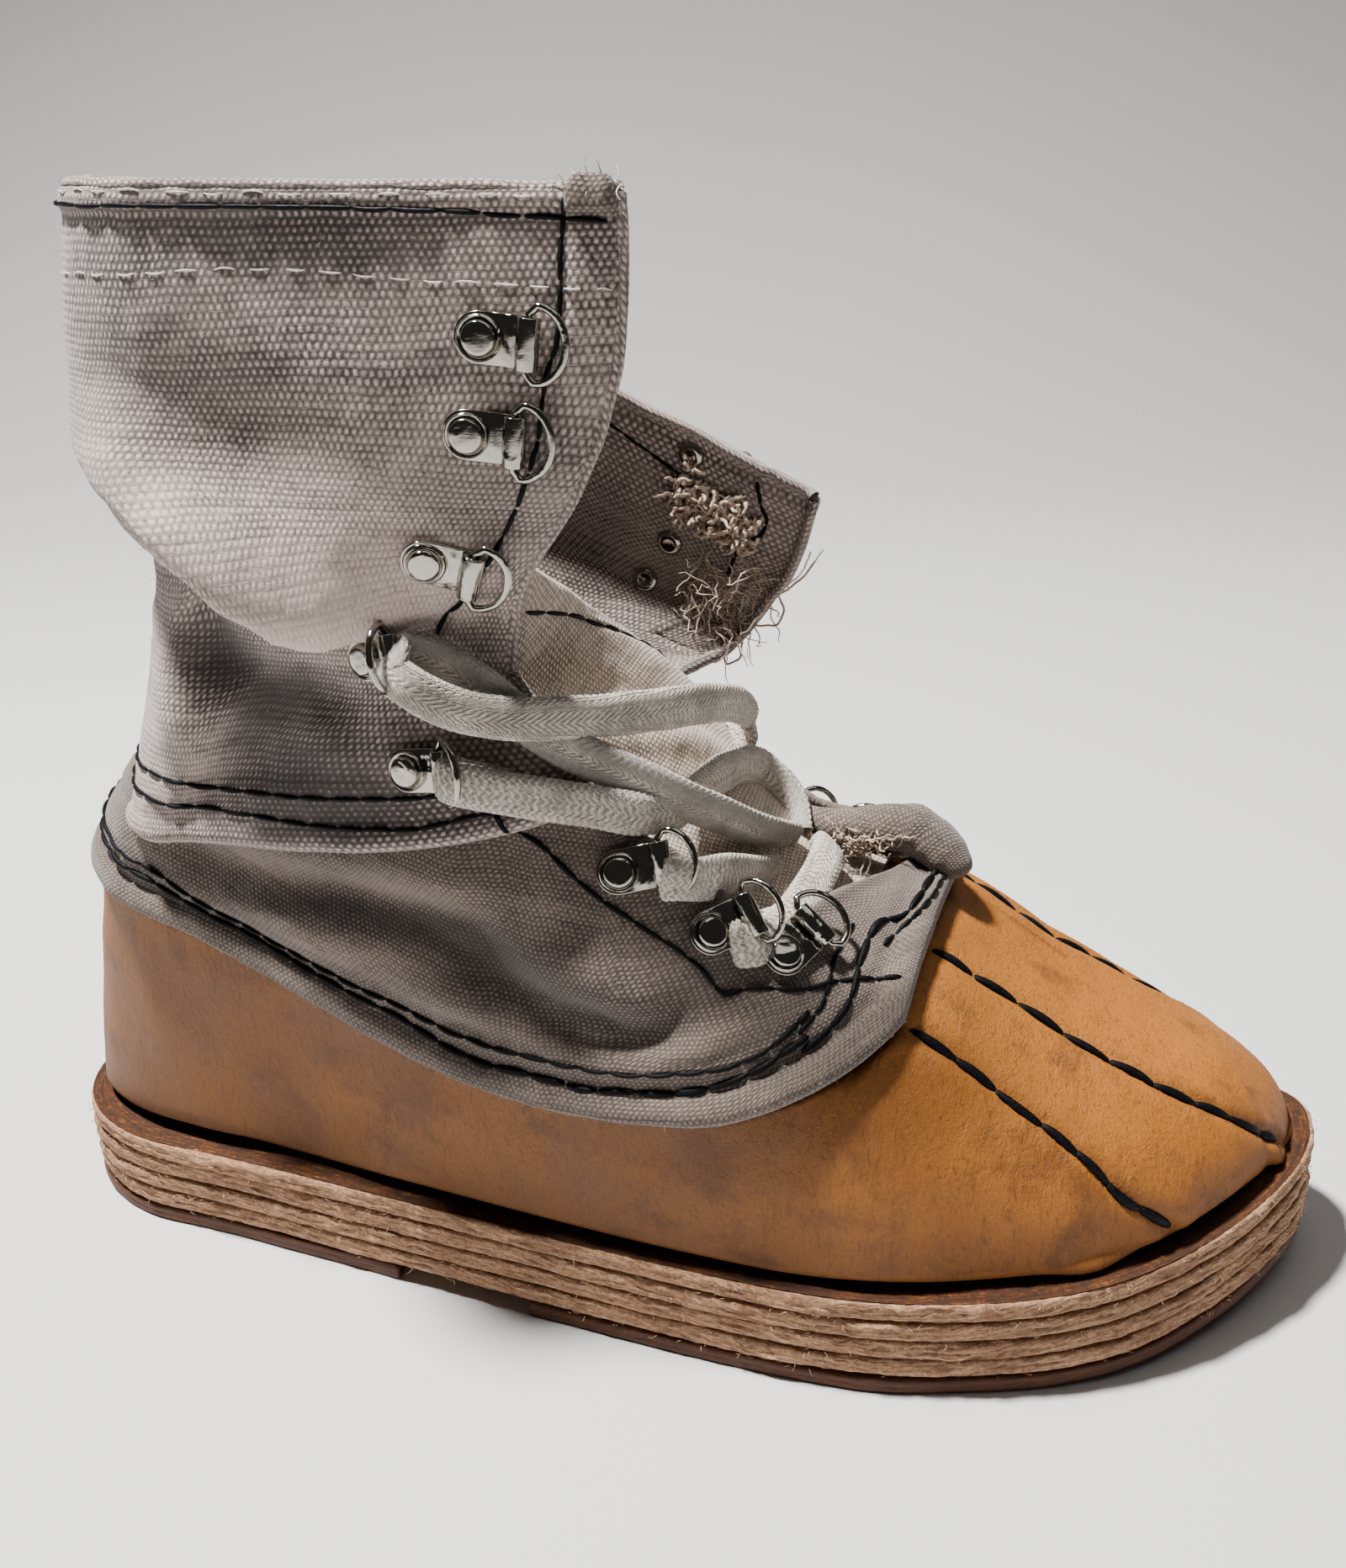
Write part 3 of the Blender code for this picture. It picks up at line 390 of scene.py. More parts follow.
def route(sections, share):
    """Reads every column of a path at shares of its rows, in the columns' own order."""
    columns = [name for name in sections if name != "row"]
    rows = dict(sections, row=np.linspace(0, 1, len(sections[columns[0]])))
    return [smooth(rows, "row", column, share) for column in columns]


def ease(share):
    share = np.clip(share, 0, 1)
    return share * share * (3 - 2 * share)


def hump(distance, wide):
    return np.exp(-((distance / wide) ** 2))


def run_of(points):
    """Distance along a line, at each of its points."""
    return np.concatenate([[0], np.cumsum(np.linalg.norm(np.diff(points, axis=0), axis=1))])


def read_at(at, run, values):
    """Rows of values at distances along a line, from its own rows at the distances in run."""
    return np.stack([np.interp(at, run, column) for column in np.transpose(values)], 1)


def matched(u, v):
    return np.broadcast_arrays(np.asarray(u, float), np.asarray(v, float))


def rounding(share, power=2.2):
    """A full round end: 1 at share 0, 0 at share 1."""
    return (1 - np.clip(share, 0, 1) ** power) ** (1 / power)


def ends(x, back, tip, back_round, tip_round):
    return rounding((back + back_round - x) / back_round) * rounding((x - (tip - tip_round)) / tip_round)


def spring(x):
    return TOE_SPRING * np.clip((x - SPRING_START) / (LENGTH - SPRING_START), 0, 1) ** 2


def sole_half(x, side):
    toe_round = np.where(side < 0, TOE_ROUND_OUTER, TOE_ROUND_INNER)
    return smooth(OUTLINE, "at", "half", x / LENGTH) * ends(x, 0, LENGTH, HEEL_ROUND, toe_round)


def middle(x):
    return smooth(OUTLINE, "at", "middle", x / LENGTH)


def foot_ends(x, lift):
    return ends(x, FOOT_BACK - lift, FOOT_TIP + lift, FOOT_HEEL_ROUND + lift, FOOT_TOE_ROUND + lift)


def foot_section(x, lift):
    floor = LEDGE + GAP + spring(x)
    tip = FOOT_TIP + lift
    drop = TOE_DROP + lift
    ridge = smooth(FOOT, "x", "ridge", x) + lift
    ridge = floor + (ridge - floor) * rounding((x - (tip - drop)) / drop)
    return floor, ridge, np.minimum(TUCK_RISE, 0.25 * (ridge - floor))


def foot(x, side, angle, lift=0.0):
    """A point of the foot. angle 0 is the widest line, pi / 2 the ridge, -1 the leather's turned-in edge."""
    floor, ridge, rise = foot_section(x, lift)
    rounded = foot_ends(x, lift)
    half = (smooth(OUTLINE, "at", "half", x / LENGTH) - smooth(FOOT, "x", "inset", x) + lift) * rounded
    across = smooth(FOOT, "x", "across", x) * rounded
    power = 2 / smooth(FOOT, "x", "square", x)
    up = np.clip(angle, 0, math.pi / 2)
    under = np.clip(-angle, 0, 1)
    narrowing = np.minimum(1, half / TUCK_FULL_HALF)
    y = (half - side * across) * np.cos(up) ** power - TUCK_IN * under**2 * narrowing
    z = floor + rise + (ridge - floor - rise) * np.sin(up) ** power - rise * under
    heel = np.clip(1 - (x - FOOT_BACK) / (HEEL_LEAN_END - FOOT_BACK), 0, 1)
    slope = (smooth(LEAN, "z", "forward", z + 1) - smooth(LEAN, "z", "forward", z - 1)) / 2
    forward = smooth(LEAN, "z", "forward", z) - lift * (np.sqrt(1 + slope**2) - 1)
    return np.stack([x + forward * heel**HEEL_LEAN_FADE, middle(x) + side * (y + side * across), z], -1)


def angle_at(x, z, lift=0.0):
    """Angle round the section at x where it reaches height z."""
    floor, ridge, rise = foot_section(x, lift)
    share = np.clip((z - floor - rise) / np.maximum(ridge - floor - rise, GAP), 0, 1)
    return np.arcsin(share ** (smooth(FOOT, "x", "square", x) / 2))


def ankle(round_share, side, z):
    reach = HEEL_ROUND + 2
    behind = reach * (1 - np.cos(np.clip(round_share / SHAFT_TURN, 0, 1) * math.pi / 2))
    ahead = np.clip((round_share - SHAFT_TURN) / (1 - SHAFT_TURN), 0, 1)
    x = FOOT_BACK - BAND_LIFT + behind + (ANKLE_FRONT - FOOT_BACK + BAND_LIFT - reach) * ahead
    return foot(x, side, angle_at(x, z, BAND_LIFT), BAND_LIFT)


def shaft(turned, level):
    """A point of the shaft; turned is -1 at its outer front edge, 1 at the inner one, and level 1 on top."""
    turned, level = matched(turned, level)
    read = {column: smooth(SHAFT, "at", column, level) for column in SHAFT}
    near = turned < 0
    side = np.where(near, -1.0, 1.0)
    half, edge_x, edge_y, edge_z = (
        np.where(near, read[f"near_{part}"], read[f"far_{part}"]) for part in ("half", "x", "y", "z")
    )
    round_share = np.abs(turned)
    turn = np.clip(round_share / SHAFT_TURN, 0, 1) * math.pi / 2
    ahead = np.clip((round_share - SHAFT_TURN) / (1 - SHAFT_TURN), 0, 1)
    x = read["back_x"] + SHAFT_ROUND * (1 - np.cos(turn)) + (edge_x - read["back_x"] - SHAFT_ROUND) * ahead
    y = half * np.sin(turn) + (edge_y - half) * ahead**2
    share = np.clip((x - read["back_x"]) / (edge_x - read["back_x"]), 0, 1)
    z = read["back_z"] + (edge_z - read["back_z"]) * share ** read["climb"]
    leg = ease((level - BAND_BLEND[0]) / (BAND_BLEND[1] - BAND_BLEND[0]))
    leg = (leg + (1 - leg) * (1 - ease((round_share - 0.12) / 0.52)))[..., None]
    return np.stack([x, side * y, z], -1) * leg + ankle(round_share, side, z) * (1 - leg)


def canvas_hem(x, lift=QUARTER_LIFT):
    return angle_at(x, smooth(HEM, "x", "z", x), lift)


def canvas_top(x, lift=QUARTER_LIFT):
    throat = smooth(THROAT, "x", "angle", x)
    return np.where(x < THROAT["x"][0], np.minimum(angle_at(x, QUARTER_TOP, lift), throat), throat)


def along_quarter(share):
    return FOOT_BACK - QUARTER_LIFT + (VAMP_START - FOOT_BACK + QUARTER_LIFT) * share


def leather_top(x):
    behind_hem = angle_at(x, smooth(HEM, "x", "z", x) + LEATHER_OVERLAP)
    share = ease((x - LEATHER_RISE_START) / (VAMP_START - LEATHER_RISE_START))
    return behind_hem + (math.pi / 2 - behind_hem) * share


def tongue(u, v):
    """A point of the tongue: u from its outer to its inner edge, v from the vamp to its top."""
    rows = dict(TONGUE, row=np.arange(len(TONGUE["mid_x"])))
    row = v * (len(rows["row"]) - 1)
    read = {column: smooth(rows, "row", column, row) for column in TONGUE}
    near, mid, far = (
        np.stack([read[f"{part}_{axis}"] for axis in "xyz"], -1) for part in ("near", "mid", "far")
    )
    across = (2 * u - 1)[..., None]
    return mid + across * (far - near) / 2 + across**2 * ((near + far) / 2 - mid)


def by_angle(line, lift=0.0):
    """A line given by place along the foot and height, as place and angle."""
    return {"x": line["x"], "angle": angle_at(line["x"], line["z"], lift)}


def unit(vectors):
    return vectors / np.maximum(np.linalg.norm(vectors, axis=-1, keepdims=True), 1e-9)


class Path:
    """A line in space with further columns that vary along it, such as a fold's width and height."""

    def __init__(self, points, *columns):
        self.points = np.asarray(points, float)
        self.columns = [np.asarray(column, float) for column in columns]

    def nearest(self, points):
        """Distance of each point to the line, and the columns at the nearest place on it."""
        start = self.points[:-1]
        run = self.points[1:] - start
        length = np.maximum((run**2).sum(-1), 1e-9)
        flat = points.reshape(-1, 3)
        share = np.clip(((flat[:, None] - start) * run).sum(-1) / length, 0, 1)
        gaps = np.linalg.norm(flat[:, None] - start - share[..., None] * run, axis=-1)
        best = gaps.argmin(1)
        rows = np.arange(len(flat))
        at = share[rows, best]
        read = [column[best] + (column[best + 1] - column[best]) * at for column in self.columns]
        return [values.reshape(points.shape[:-1]) for values in (gaps[rows, best], *read)]


def wander(points, size, seed=0.0, octaves=1):
    """Smooth noise between about -1 and 1 over space, with features of that size."""
    flat = np.asarray(points, float).reshape(-1, 3)
    total = np.zeros(len(flat))
    share = 1.0
    for _ in range(octaves):
        scaled = flat / size + (seed, 2 * seed, 3 * seed)
        total += share * np.array([noise.noise(Vector(p)) for p in scaled])
        size /= 2
        share /= 2
    return total.reshape(points.shape[:-1]) * 1.6


class Skin:
    """A curved piece: its plain surface, which side of it faces out, and how far it stands off there.

    seats are the places of the clips, each with the height at which the cloth meets the clip.
    """

    def __init__(self, plain, facing, steps, height, seats=()):
        self.plain = plain
        self.facing = facing
        self.steps = steps
        self.height = height
        self.seats = seats

    def across(self, surface, u, v):
        du, dv = self.steps
        along = surface(u + du, v) - surface(u - du, v)
        up = surface(u, v + dv) - surface(u, v - dv)
        return unit(self.facing * np.cross(along, up))

    def plain_normal(self, u, v):
        return self.across(self.plain, u, v)

    def at(self, u, v, off=0.0):
        u, v = matched(u, v)
        points = self.plain(u, v)
        proud = self.height(u, v, points)
        for seat, stand in self.seats:
            pressed = hump(np.linalg.norm(points - seat, axis=-1), SEAT_REACH)
            proud = proud * (1 - pressed) + (stand - GAP) * pressed
        proud = proud + off
        return points + self.plain_normal(u, v) * np.asarray(proud)[..., None]

    def normal(self, u, v):
        u, v = matched(u, v)
        return self.across(self.at, u, v)


def fold_paths(folds, plain):
    """The folds as paths in space, from places on a plain surface."""
    share = np.linspace(0, 1, 17)
    made = []
    for fold in folds:
        first, second, wide, high = route(fold, share)
        made.append(Path(plain(first, second), wide, high))
    return made


def folded(paths, points):
    total = np.zeros(points.shape[:-1])
    for path in paths:
        distance, wide, high = path.nearest(points)
        total += high * hump(distance, wide)
    return total


def light_and_soil_at(marks, first, second, first_mm=1.0, second_mm=1.0):
    """How much paler or darker the cloth is painted at each place: painted light and shade, with some
    soiling.
    """
    total = 0.0
    for at, up, wide, high, tone in zip(*marks.values()):
        away = np.hypot((first - at) * first_mm / wide, (second - up) * second_mm / high)
        total = total + tone * hump(away, 1.0)
    return total


# Meshes


def linked(name, data):
    made = bpy.data.objects.new(name, data)
    bpy.context.scene.collection.objects.link(made)
    return made


def smooth_mesh(name, bm, finish):
    mesh = bpy.data.meshes.new(name)
    bm.to_mesh(mesh)
    bm.free()
    mesh.materials.append(finish)
    mesh.shade_smooth()
    return linked(name, mesh)


def finished(name, bm, finish, slot, body="root", replaces=(), wall=0.0):
    """The bmesh as a piece of the boot; a skin gets its wall on the inside."""
    piece = smooth_mesh(name, bm, finish)
    if wall:
        walls = piece.modifiers.new("wall", "SOLIDIFY")
        walls.thickness = wall * MM
        walls.offset = -1
        walls.use_even_offset = False
    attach(piece, body)
    if replaces:
        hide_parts(*replaces)
    return piece


def run_along(points, axis, start):
    """Distance over a grid of points along one of its directions, from the row at that share of it."""
    steps = np.linalg.norm(np.diff(points, axis=axis), axis=-1)
    first = np.zeros_like(np.take(steps, [0], axis))
    run = np.cumsum(np.concatenate([first, steps], axis), axis)
    return run - np.take(run, [int(start * (points.shape[axis] - 1))], axis)


def add_grid(bm, columns, rows, surface, weave_from=None, cut=None, worn=None):
    """A grid of cells moved to surface(u, v).

    Its "cloth" map measures the threads in millimetres: over the surface itself, from the column at the share
    weave_from, or evenly over a cloth cut to the size given. The last argument, a function of (u, v), gives
    painted
    light and shade with some soiling: how much paler or darker the cloth is drawn at each place.
    """
    before = len(bm.faces)
    tones = worn and (bm.verts.layers.float.get("worn") or bm.verts.layers.float.new("worn"))
    made = bmesh.ops.create_grid(bm, x_segments=columns, y_segments=rows, size=0.5)["verts"]
    share = np.clip(np.array([vertex.co[:2] for vertex in made]) + 0.5, 0, 1)
    column = np.rint(share[:, 0] * columns).astype(int)
    row = np.rint(share[:, 1] * rows).astype(int)
    u, v = np.meshgrid(np.arange(columns + 1) / columns, np.arange(rows + 1) / rows, indexing="ij")
    points = surface(u.ravel(), v.ravel()).reshape(columns + 1, rows + 1, 3)
    for vertex, point in zip(made, place(points[column, row])):
        vertex.co = point
    # painted light and shade, with some soiling, kept on each vertex for the cloth's colour
    if worn:
        for vertex, tone in zip(made, worn(share[:, 0], share[:, 1])):
            vertex[tones] = tone
    if weave_from is not None or cut:
        if cut:
            across, up = share[:, 0] * cut[0], share[:, 1] * cut[1]
        else:
            across = run_along(points, 0, weave_from)[column, row]
            up = run_along(points, 1, 0)[column, row]
        layer = bm.loops.layers.uv.get("cloth") or bm.loops.layers.uv.new("cloth")
        bm.verts.index_update()
        first = made[0].index
        bm.faces.ensure_lookup_table()
        for face in bm.faces[before:]:
            for loop in face.loops:
                at = loop.vert.index - first
                loop[layer].uv = (across[at], up[at])
    return made


def merged(bm, distance=0.00001):
    bmesh.ops.remove_doubles(bm, verts=bm.verts, dist=distance)
    bmesh.ops.recalc_face_normals(bm, faces=bm.faces)
    return bm


def tube(bm, points, wide, high=None, up=(0, 0, 1), sides=8, closed=False, square=2.0, cloth=False, knit=0.0):
    """A round or flat tube along points; wide and high are half sizes and may vary along it."""
    points = np.asarray(points, float)
    count = len(points)
    wide = np.broadcast_to(np.asarray(wide, float), count)
    high = wide if high is None else np.broadcast_to(np.asarray(high, float), count)
    if closed:
        along = np.roll(points, -1, 0) - np.roll(points, 1, 0)
    else:
        along = np.gradient(points, axis=0)
    along = unit(along)
    up = np.broadcast_to(np.asarray(up, float), (count, 3))
    side = unit(np.cross(up, along))
    top = np.cross(along, side)
    rows = count if closed else count - 1
    run = run_of(points)

    def surface(u, v):
        at = np.rint(u * rows).astype(int) % count
        turn = -v * 2 * math.pi
        across = np.sign(np.cos(turn)) * np.abs(np.cos(turn)) ** (2 / square) * wide[at]
        rise = np.sign(np.sin(turn)) * np.abs(np.sin(turn)) ** (2 / square) * high[at]
        slant = 0.9 * np.abs((v * 8 + 0.5) % 1 - 0.5)
        ripple = 1 + knit * np.sin(2 * math.pi * (run[at] / KNIT_PITCH + 2 * slant))
        return points[at] + (side[at] * across[:, None] + top[at] * rise[:, None]) * ripple[:, None]

    return add_grid(bm, rows, sides, surface, 0 if cloth else None)


def strap(bm, path, wide, thick, sides=48, step=0.32, square=2.5):
    """A flat lace along a path; the path's last three columns say which way its width lies."""
    x, y, z, *across = route(path, np.linspace(0, 1, 400))
    dense = np.stack([x, y, z], 1)
    points, share = spaced(dense, step)
    run = run_of(dense)
    guide = read_at(share * run[-1], run, np.transpose(across))
    along = unit(np.gradient(points, axis=0))
    guide = unit(guide - along * (guide * along).sum(1, keepdims=True))
    uneven = wander(points, 9, 3.0)
    half = wide / 2 * (1 + 0.05 * uneven)
    high = thick / 2 * (1 + 0.1 * uneven)
    tube(bm, points, half, high, np.cross(along, guide), sides, square=square, cloth=True, knit=KNIT_RELIEF)


def spaced(points, step):
    """Points at even spacing along a line, in millimetres, and their shares of its length."""
    run = run_of(points)
    count = max(2, int(round(run[-1] / step)) + 1)
    share = np.linspace(0, 1, count)
    return read_at(share * run[-1], run, points), share


def stitch(bm, points, normals, thick, arch, dip, sides=6):
    """One stitch of thread over the surface: it rises out of its hole, swells and goes back in."""
    share = np.linspace(0, 1, len(points))
    swell = np.sin(np.pi * share) ** 0.45
    lifted = points + normals * (arch * swell - dip * thick)[:, None]
    wide = thick * (1 - dip + dip * swell)
    tube(bm, lifted, wide, wide * 0.8, up=normals, sides=sides)


def stitch_row(
    name, skin, path, length, gap, thick, arch, finish, slot, rng, wobble=0.2, dip=0.45, inner=False
):
    """A row of stitches on a skin or on its inner face, along a path in the skin's own directions."""
    bm = bmesh.new()
    first, second = route(path, np.linspace(0, 1, 300))
    line = skin.at(first, second, -CANVAS_WALL if inner else 0.0)
    normals = skin.normal(first, second) * (-1 if inner else 1)
    aside = unit(np.cross(normals, np.gradient(line, axis=0)))
    run = run_of(line)
    share = np.linspace(0, 1, 9)
    start = 0.0
    while start < run[-1] - 0.3 * length:
        end = min(start + length * rng.uniform(0.85, 1.15), run[-1])
        at = start + (end - start) * share
        over, up, side = (read_at(at, run, values) for values in (line, unit(normals), aside))
        bend = np.sin(np.pi * share) * rng.uniform(-wobble, wobble)
        stitch(bm, over + side * bend[:, None], up, thick * rng.uniform(0.88, 1.12), arch, dip)
        start = end + gap * rng.uniform(0.6, 1.4)
    return finished(name, merged(bm, 0.000001), finish, slot)


# Materials


class Field:
    """A number that varies over a surface: a socket that takes Python's operators."""

    def __init__(self, finish, socket):
        self.finish = finish
        self.socket = socket

    def maths(self, operation, *others):
        return self.finish.maths(operation, self, *others)

    def __add__(self, other):
        return self.maths("ADD", other)

    def __sub__(self, other):
        return self.maths("SUBTRACT", other)

    def __mul__(self, other):
        return self.maths("MULTIPLY", other)

    def __truediv__(self, other):
        return self.maths("DIVIDE", other)

    def __pow__(self, other):
        return self.maths("POWER", other)

    def __rsub__(self, other):
        return self.finish.maths("SUBTRACT", other, self)

    __radd__ = __add__
    __rmul__ = __mul__


class Finish:
    """A material and its Principled shader."""

    def __init__(self, name, **uniform):
        self.material = bpy.data.materials.new(name)
        self.material.use_nodes = True
        self.tree = self.material.node_tree
        self.shader = self.tree.nodes["Principled BSDF"]
        for socket, value in uniform.items():
            self.shader.inputs[socket.replace("_", " ")].default_value = value

    def node(self, kind, settings=None, inputs=None, output=0):
        """A node of that type: its settings, then the values or links of its sockets."""
        made = self.tree.nodes.new(kind)
        for name, value in (settings or {}).items():
            if name == "stops":
                while len(made.color_ramp.elements) < len(value):
                    made.color_ramp.elements.new(0.5)
                for element, (position, colour) in zip(made.color_ramp.elements, value):
                    element.position = position
                    element.color = (*colour, 1)
            else:
                setattr(made, name, value)
        for name, value in (inputs or {}).items():
            self.feed(made.inputs[name], value)
        return Field(self, made.outputs[output])

    def feed(self, socket, value):
        if isinstance(value, Field):
            self.tree.links.new(value.socket, socket)
        elif isinstance(value, tuple) and socket.type == "RGBA":
            socket.default_value = (*value, 1)
        else:
            socket.default_value = value

    def maths(self, operation, *values):
        return self.node("ShaderNodeMath", {"operation": operation}, dict(enumerate(values)))

    def where(self):
        return self.node("ShaderNodeTexCoord", output="Object")

    def threads(self):
        return self.node("ShaderNodeUVMap", {"uv_map": "cloth"})

    def parts(self, vector):
        split = self.node("ShaderNodeSeparateXYZ", None, {0: vector})
        return [Field(self, output) for output in split.socket.node.outputs]

    def vector(self, x, y, z=0.0):
        return self.node("ShaderNodeCombineXYZ", None, {0: x, 1: y, 2: z})

    def stretched(self, vector, scale):
        return self.node("ShaderNodeMapping", None, {"Vector": vector, "Scale": scale})

    def noise(self, vector, scale, detail=3.0, rough=0.55, twist=0.0):
        inputs = {"Vector": vector, "Scale": scale, "Detail": detail, "Roughness": rough, "Distortion": twist}
        return self.node("ShaderNodeTexNoise", None, inputs)

    def cells(self, vector, scale):
        return self.node("ShaderNodeTexVoronoi", {"feature": "F1"}, {"Vector": vector, "Scale": scale})

    def spread(self, value, low, high, to_low=0.0, to_high=1.0):
        """value from low to high, as to_low to to_high, held at both ends."""
        inputs = {"Value": value, 1: low, 2: high, 3: to_low, 4: to_high}
        return self.node("ShaderNodeMapRange", {"interpolation_type": "SMOOTHSTEP"}, inputs)

    def mix(self, share, first, second):
        return self.node("ShaderNodeMix", {"data_type": "RGBA"}, {0: share, 6: first, 7: second}, output=2)

    def coated(self, colour, *coats):
        """A colour under coats of (colour, field, low, high, strength): each lies where its field is high."""
        for coat, field, low, high, strength in coats:
            colour = self.mix(self.spread(field, low, high) * strength, colour, coat)
        return colour

    def bump(self, height, distance, strength):
        inputs = {"Height": height, "Distance": distance, "Strength": strength}
        return self.node("ShaderNodeBump", None, inputs)

    def wear(self, **sockets):
        for name, value in sockets.items():
            self.feed(self.shader.inputs[name.replace("_", " ")], value)
        return self.material


def leather_finish(name, pale, tan, deep, toe_tan_and_light):
    """Waxed vegetable-tanned leather: cloudy tan, fine grain, small creases, scratches and handling marks."""
    finish = Finish(name, Specular_IOR_Level=0.35)
    where = finish.where()
    clouds = finish.noise(where, 22, 4, 0.6, 0.4)
    blotch = finish.noise(where, 62, 4, 0.65, 0.3)
    grain = finish.noise(where, 1150, 4, 0.7)
    pores = finish.cells(where, 1700)
    strokes = finish.noise(finish.stretched(where, (1.0, 0.6, 0.24)), 640, 4, 0.7, 2.2)
    slanted = finish.noise(finish.stretched(where, (0.35, 0.8, 1.0)), 520, 3, 0.7, 2.6)
    scratch = finish.noise(finish.stretched(where, (1.0, 0.5, 0.08)), 240, 2, 0.6, 0.5)
    x, _, z = finish.parts(where)
    toe = finish.spread(x, 0.11, 0.20)
    low = finish.spread(z, 0.022, 0.045, 0.55, 0.0)
    colour = finish.coated(tan, (pale, clouds, 0.38, 0.64, 1.0))
    # the forefoot is painted a brighter orange: partly the leather's own colour, partly painted light on the
    # toe
    colour = finish.mix(toe * finish.spread(clouds, 0.2, 0.7, 0.5, 1.0), colour, toe_tan_and_light)
    colour = finish.coated(colour, (deep, blotch, 0.50, 0.70, 0.5))
    colour = finish.mix(low * finish.spread(clouds, 0.3, 0.7, 0.4, 1.0), colour, deep)
    colour = finish.coated(
        colour,
        (deep, strokes, 0.50, 0.68, 0.46),
        (pale, slanted, 0.56, 0.72, 0.30),
        (deep, grain, 0.50, 0.72, 0.30),
        (deep, scratch, 0.72, 0.76, 0.30),
    )
    creases = finish.noise(finish.stretched(where, (1.0, 0.5, 0.35)), 420, 3, 0.6, 1.4)
    ridges = finish.spread(creases, 0.44, 0.5) * finish.spread(blotch, 0.35, 0.6)
    height = grain * 0.6 + finish.spread(pores, 0.0, 0.4) * 0.35 + ridges * 0.3 + blotch * 0.5 + strokes * 0.7
    roughness = finish.spread(clouds, 0.3, 0.7, 0.46, 0.62) + grain * 0.12
    return finish.wear(Base_Color=colour, Roughness=roughness, Normal=finish.bump(height, 0.00034, 0.7))


def canvas_finish(name, light, shade, dirt_and_shade, pitch, relief=0.75):
    """Unbleached duck: thick pale weft over darker warp, its gaps painted dark as shade; uneven threads; grey
    soiling; painted light.
    """
    finish = Finish(name, Roughness=0.92, Specular_IOR_Level=0.2, Sheen_Weight=0.2, Sheen_Roughness=0.6)
    threads = finish.threads()
    where = finish.where()
    across, up, _ = finish.parts(threads)
    sway = finish.noise(where, 55, 2, 0.5)
    jitter = finish.noise(where, 520, 2, 0.5)
    across = (across + sway * 1.6 + jitter * 0.5) / pitch[0]
    up = (up + sway * 1.4 + jitter * 0.35) / pitch[1]
    row = up.maths("FLOOR")
    shifted = across + row * 0.5
    column = shifted.maths("FLOOR")
    over = (shifted - column) * math.pi
    along = (up - row) * math.pi
    cell = finish.vector(column * 0.37, row * 0.61)
    slub = finish.node("ShaderNodeTexWhiteNoise", {"noise_dimensions": "2D"}, {"Vector": cell})
    rows = finish.node("ShaderNodeTexWhiteNoise", {"noise_dimensions": "1D"}, {"W": row * 0.713})
    thickness = finish.noise(finish.stretched(threads, (0.09, 0.7, 1.0)), 1.0, 2, 0.6)
    weft = over.maths("SINE") ** (slub * 2.2 + 1.0) * along.maths("SINE") ** (thickness * 1.6 + 0.6)
    line = (1 - along.maths("SINE")) ** 5
    streaks = finish.noise(finish.stretched(threads, (0.10, 1.3, 1.0)), 1.0, 3, 0.65)
    line = line * finish.spread(streaks, 0.42, 0.66)
    fibre = finish.noise(where, 2200, 3, 0.7)
    hairs = finish.noise(finish.stretched(threads, (0.6, 2.2, 1.0)), 2.0, 3, 0.7, 1.2)
    clouds = finish.noise(where, 24, 4, 0.6, 0.5)
    marks = finish.noise(where, 110, 3, 0.65, 0.2)
    patches = finish.noise(finish.stretched(threads, (0.03, 0.05, 1.0)), 1.0, 3, 0.6)
    felt = finish.noise(where, 900, 3, 0.75, 0.6)
    height = weft * (slub * 0.5 + 0.5) + line * 0.25 + fibre * 0.4 + hairs * 0.4 + felt * 0.5
    # painted light and shade with some soiling: paler where lit or raised, darker in shaded hollows
    worn = finish.node("ShaderNodeAttribute", {"attribute_name": "worn"}, output="Fac")
    # the shade colour lies between the threads as painted shade, the light colour on the weft's tops
    tone = weft * (slub * 0.50 + 0.38) + line * 0.30 + rows * 0.12
    tone = tone + hairs * 0.55 + felt * 0.60 + fibre * 0.25 + worn * 0.26 - 0.50
    # the dirt colour lays grey soiling by noise, and painted shade where the painted light attribute is
    # negative
    colour = finish.coated(
        shade,
        (light, tone, 0.08, 0.95, 1.0),
        (dirt_and_shade, clouds, 0.40, 0.72, 0.42),
        (dirt_and_shade, marks, 0.64, 0.80, 0.5),
        (light, patches, 0.40, 0.60, 0.12),
        (dirt_and_shade, worn, -0.1, -1.1, 0.6),
    )
    return finish.wear(Base_Color=colour, Normal=finish.bump(height, 0.0003, relief))


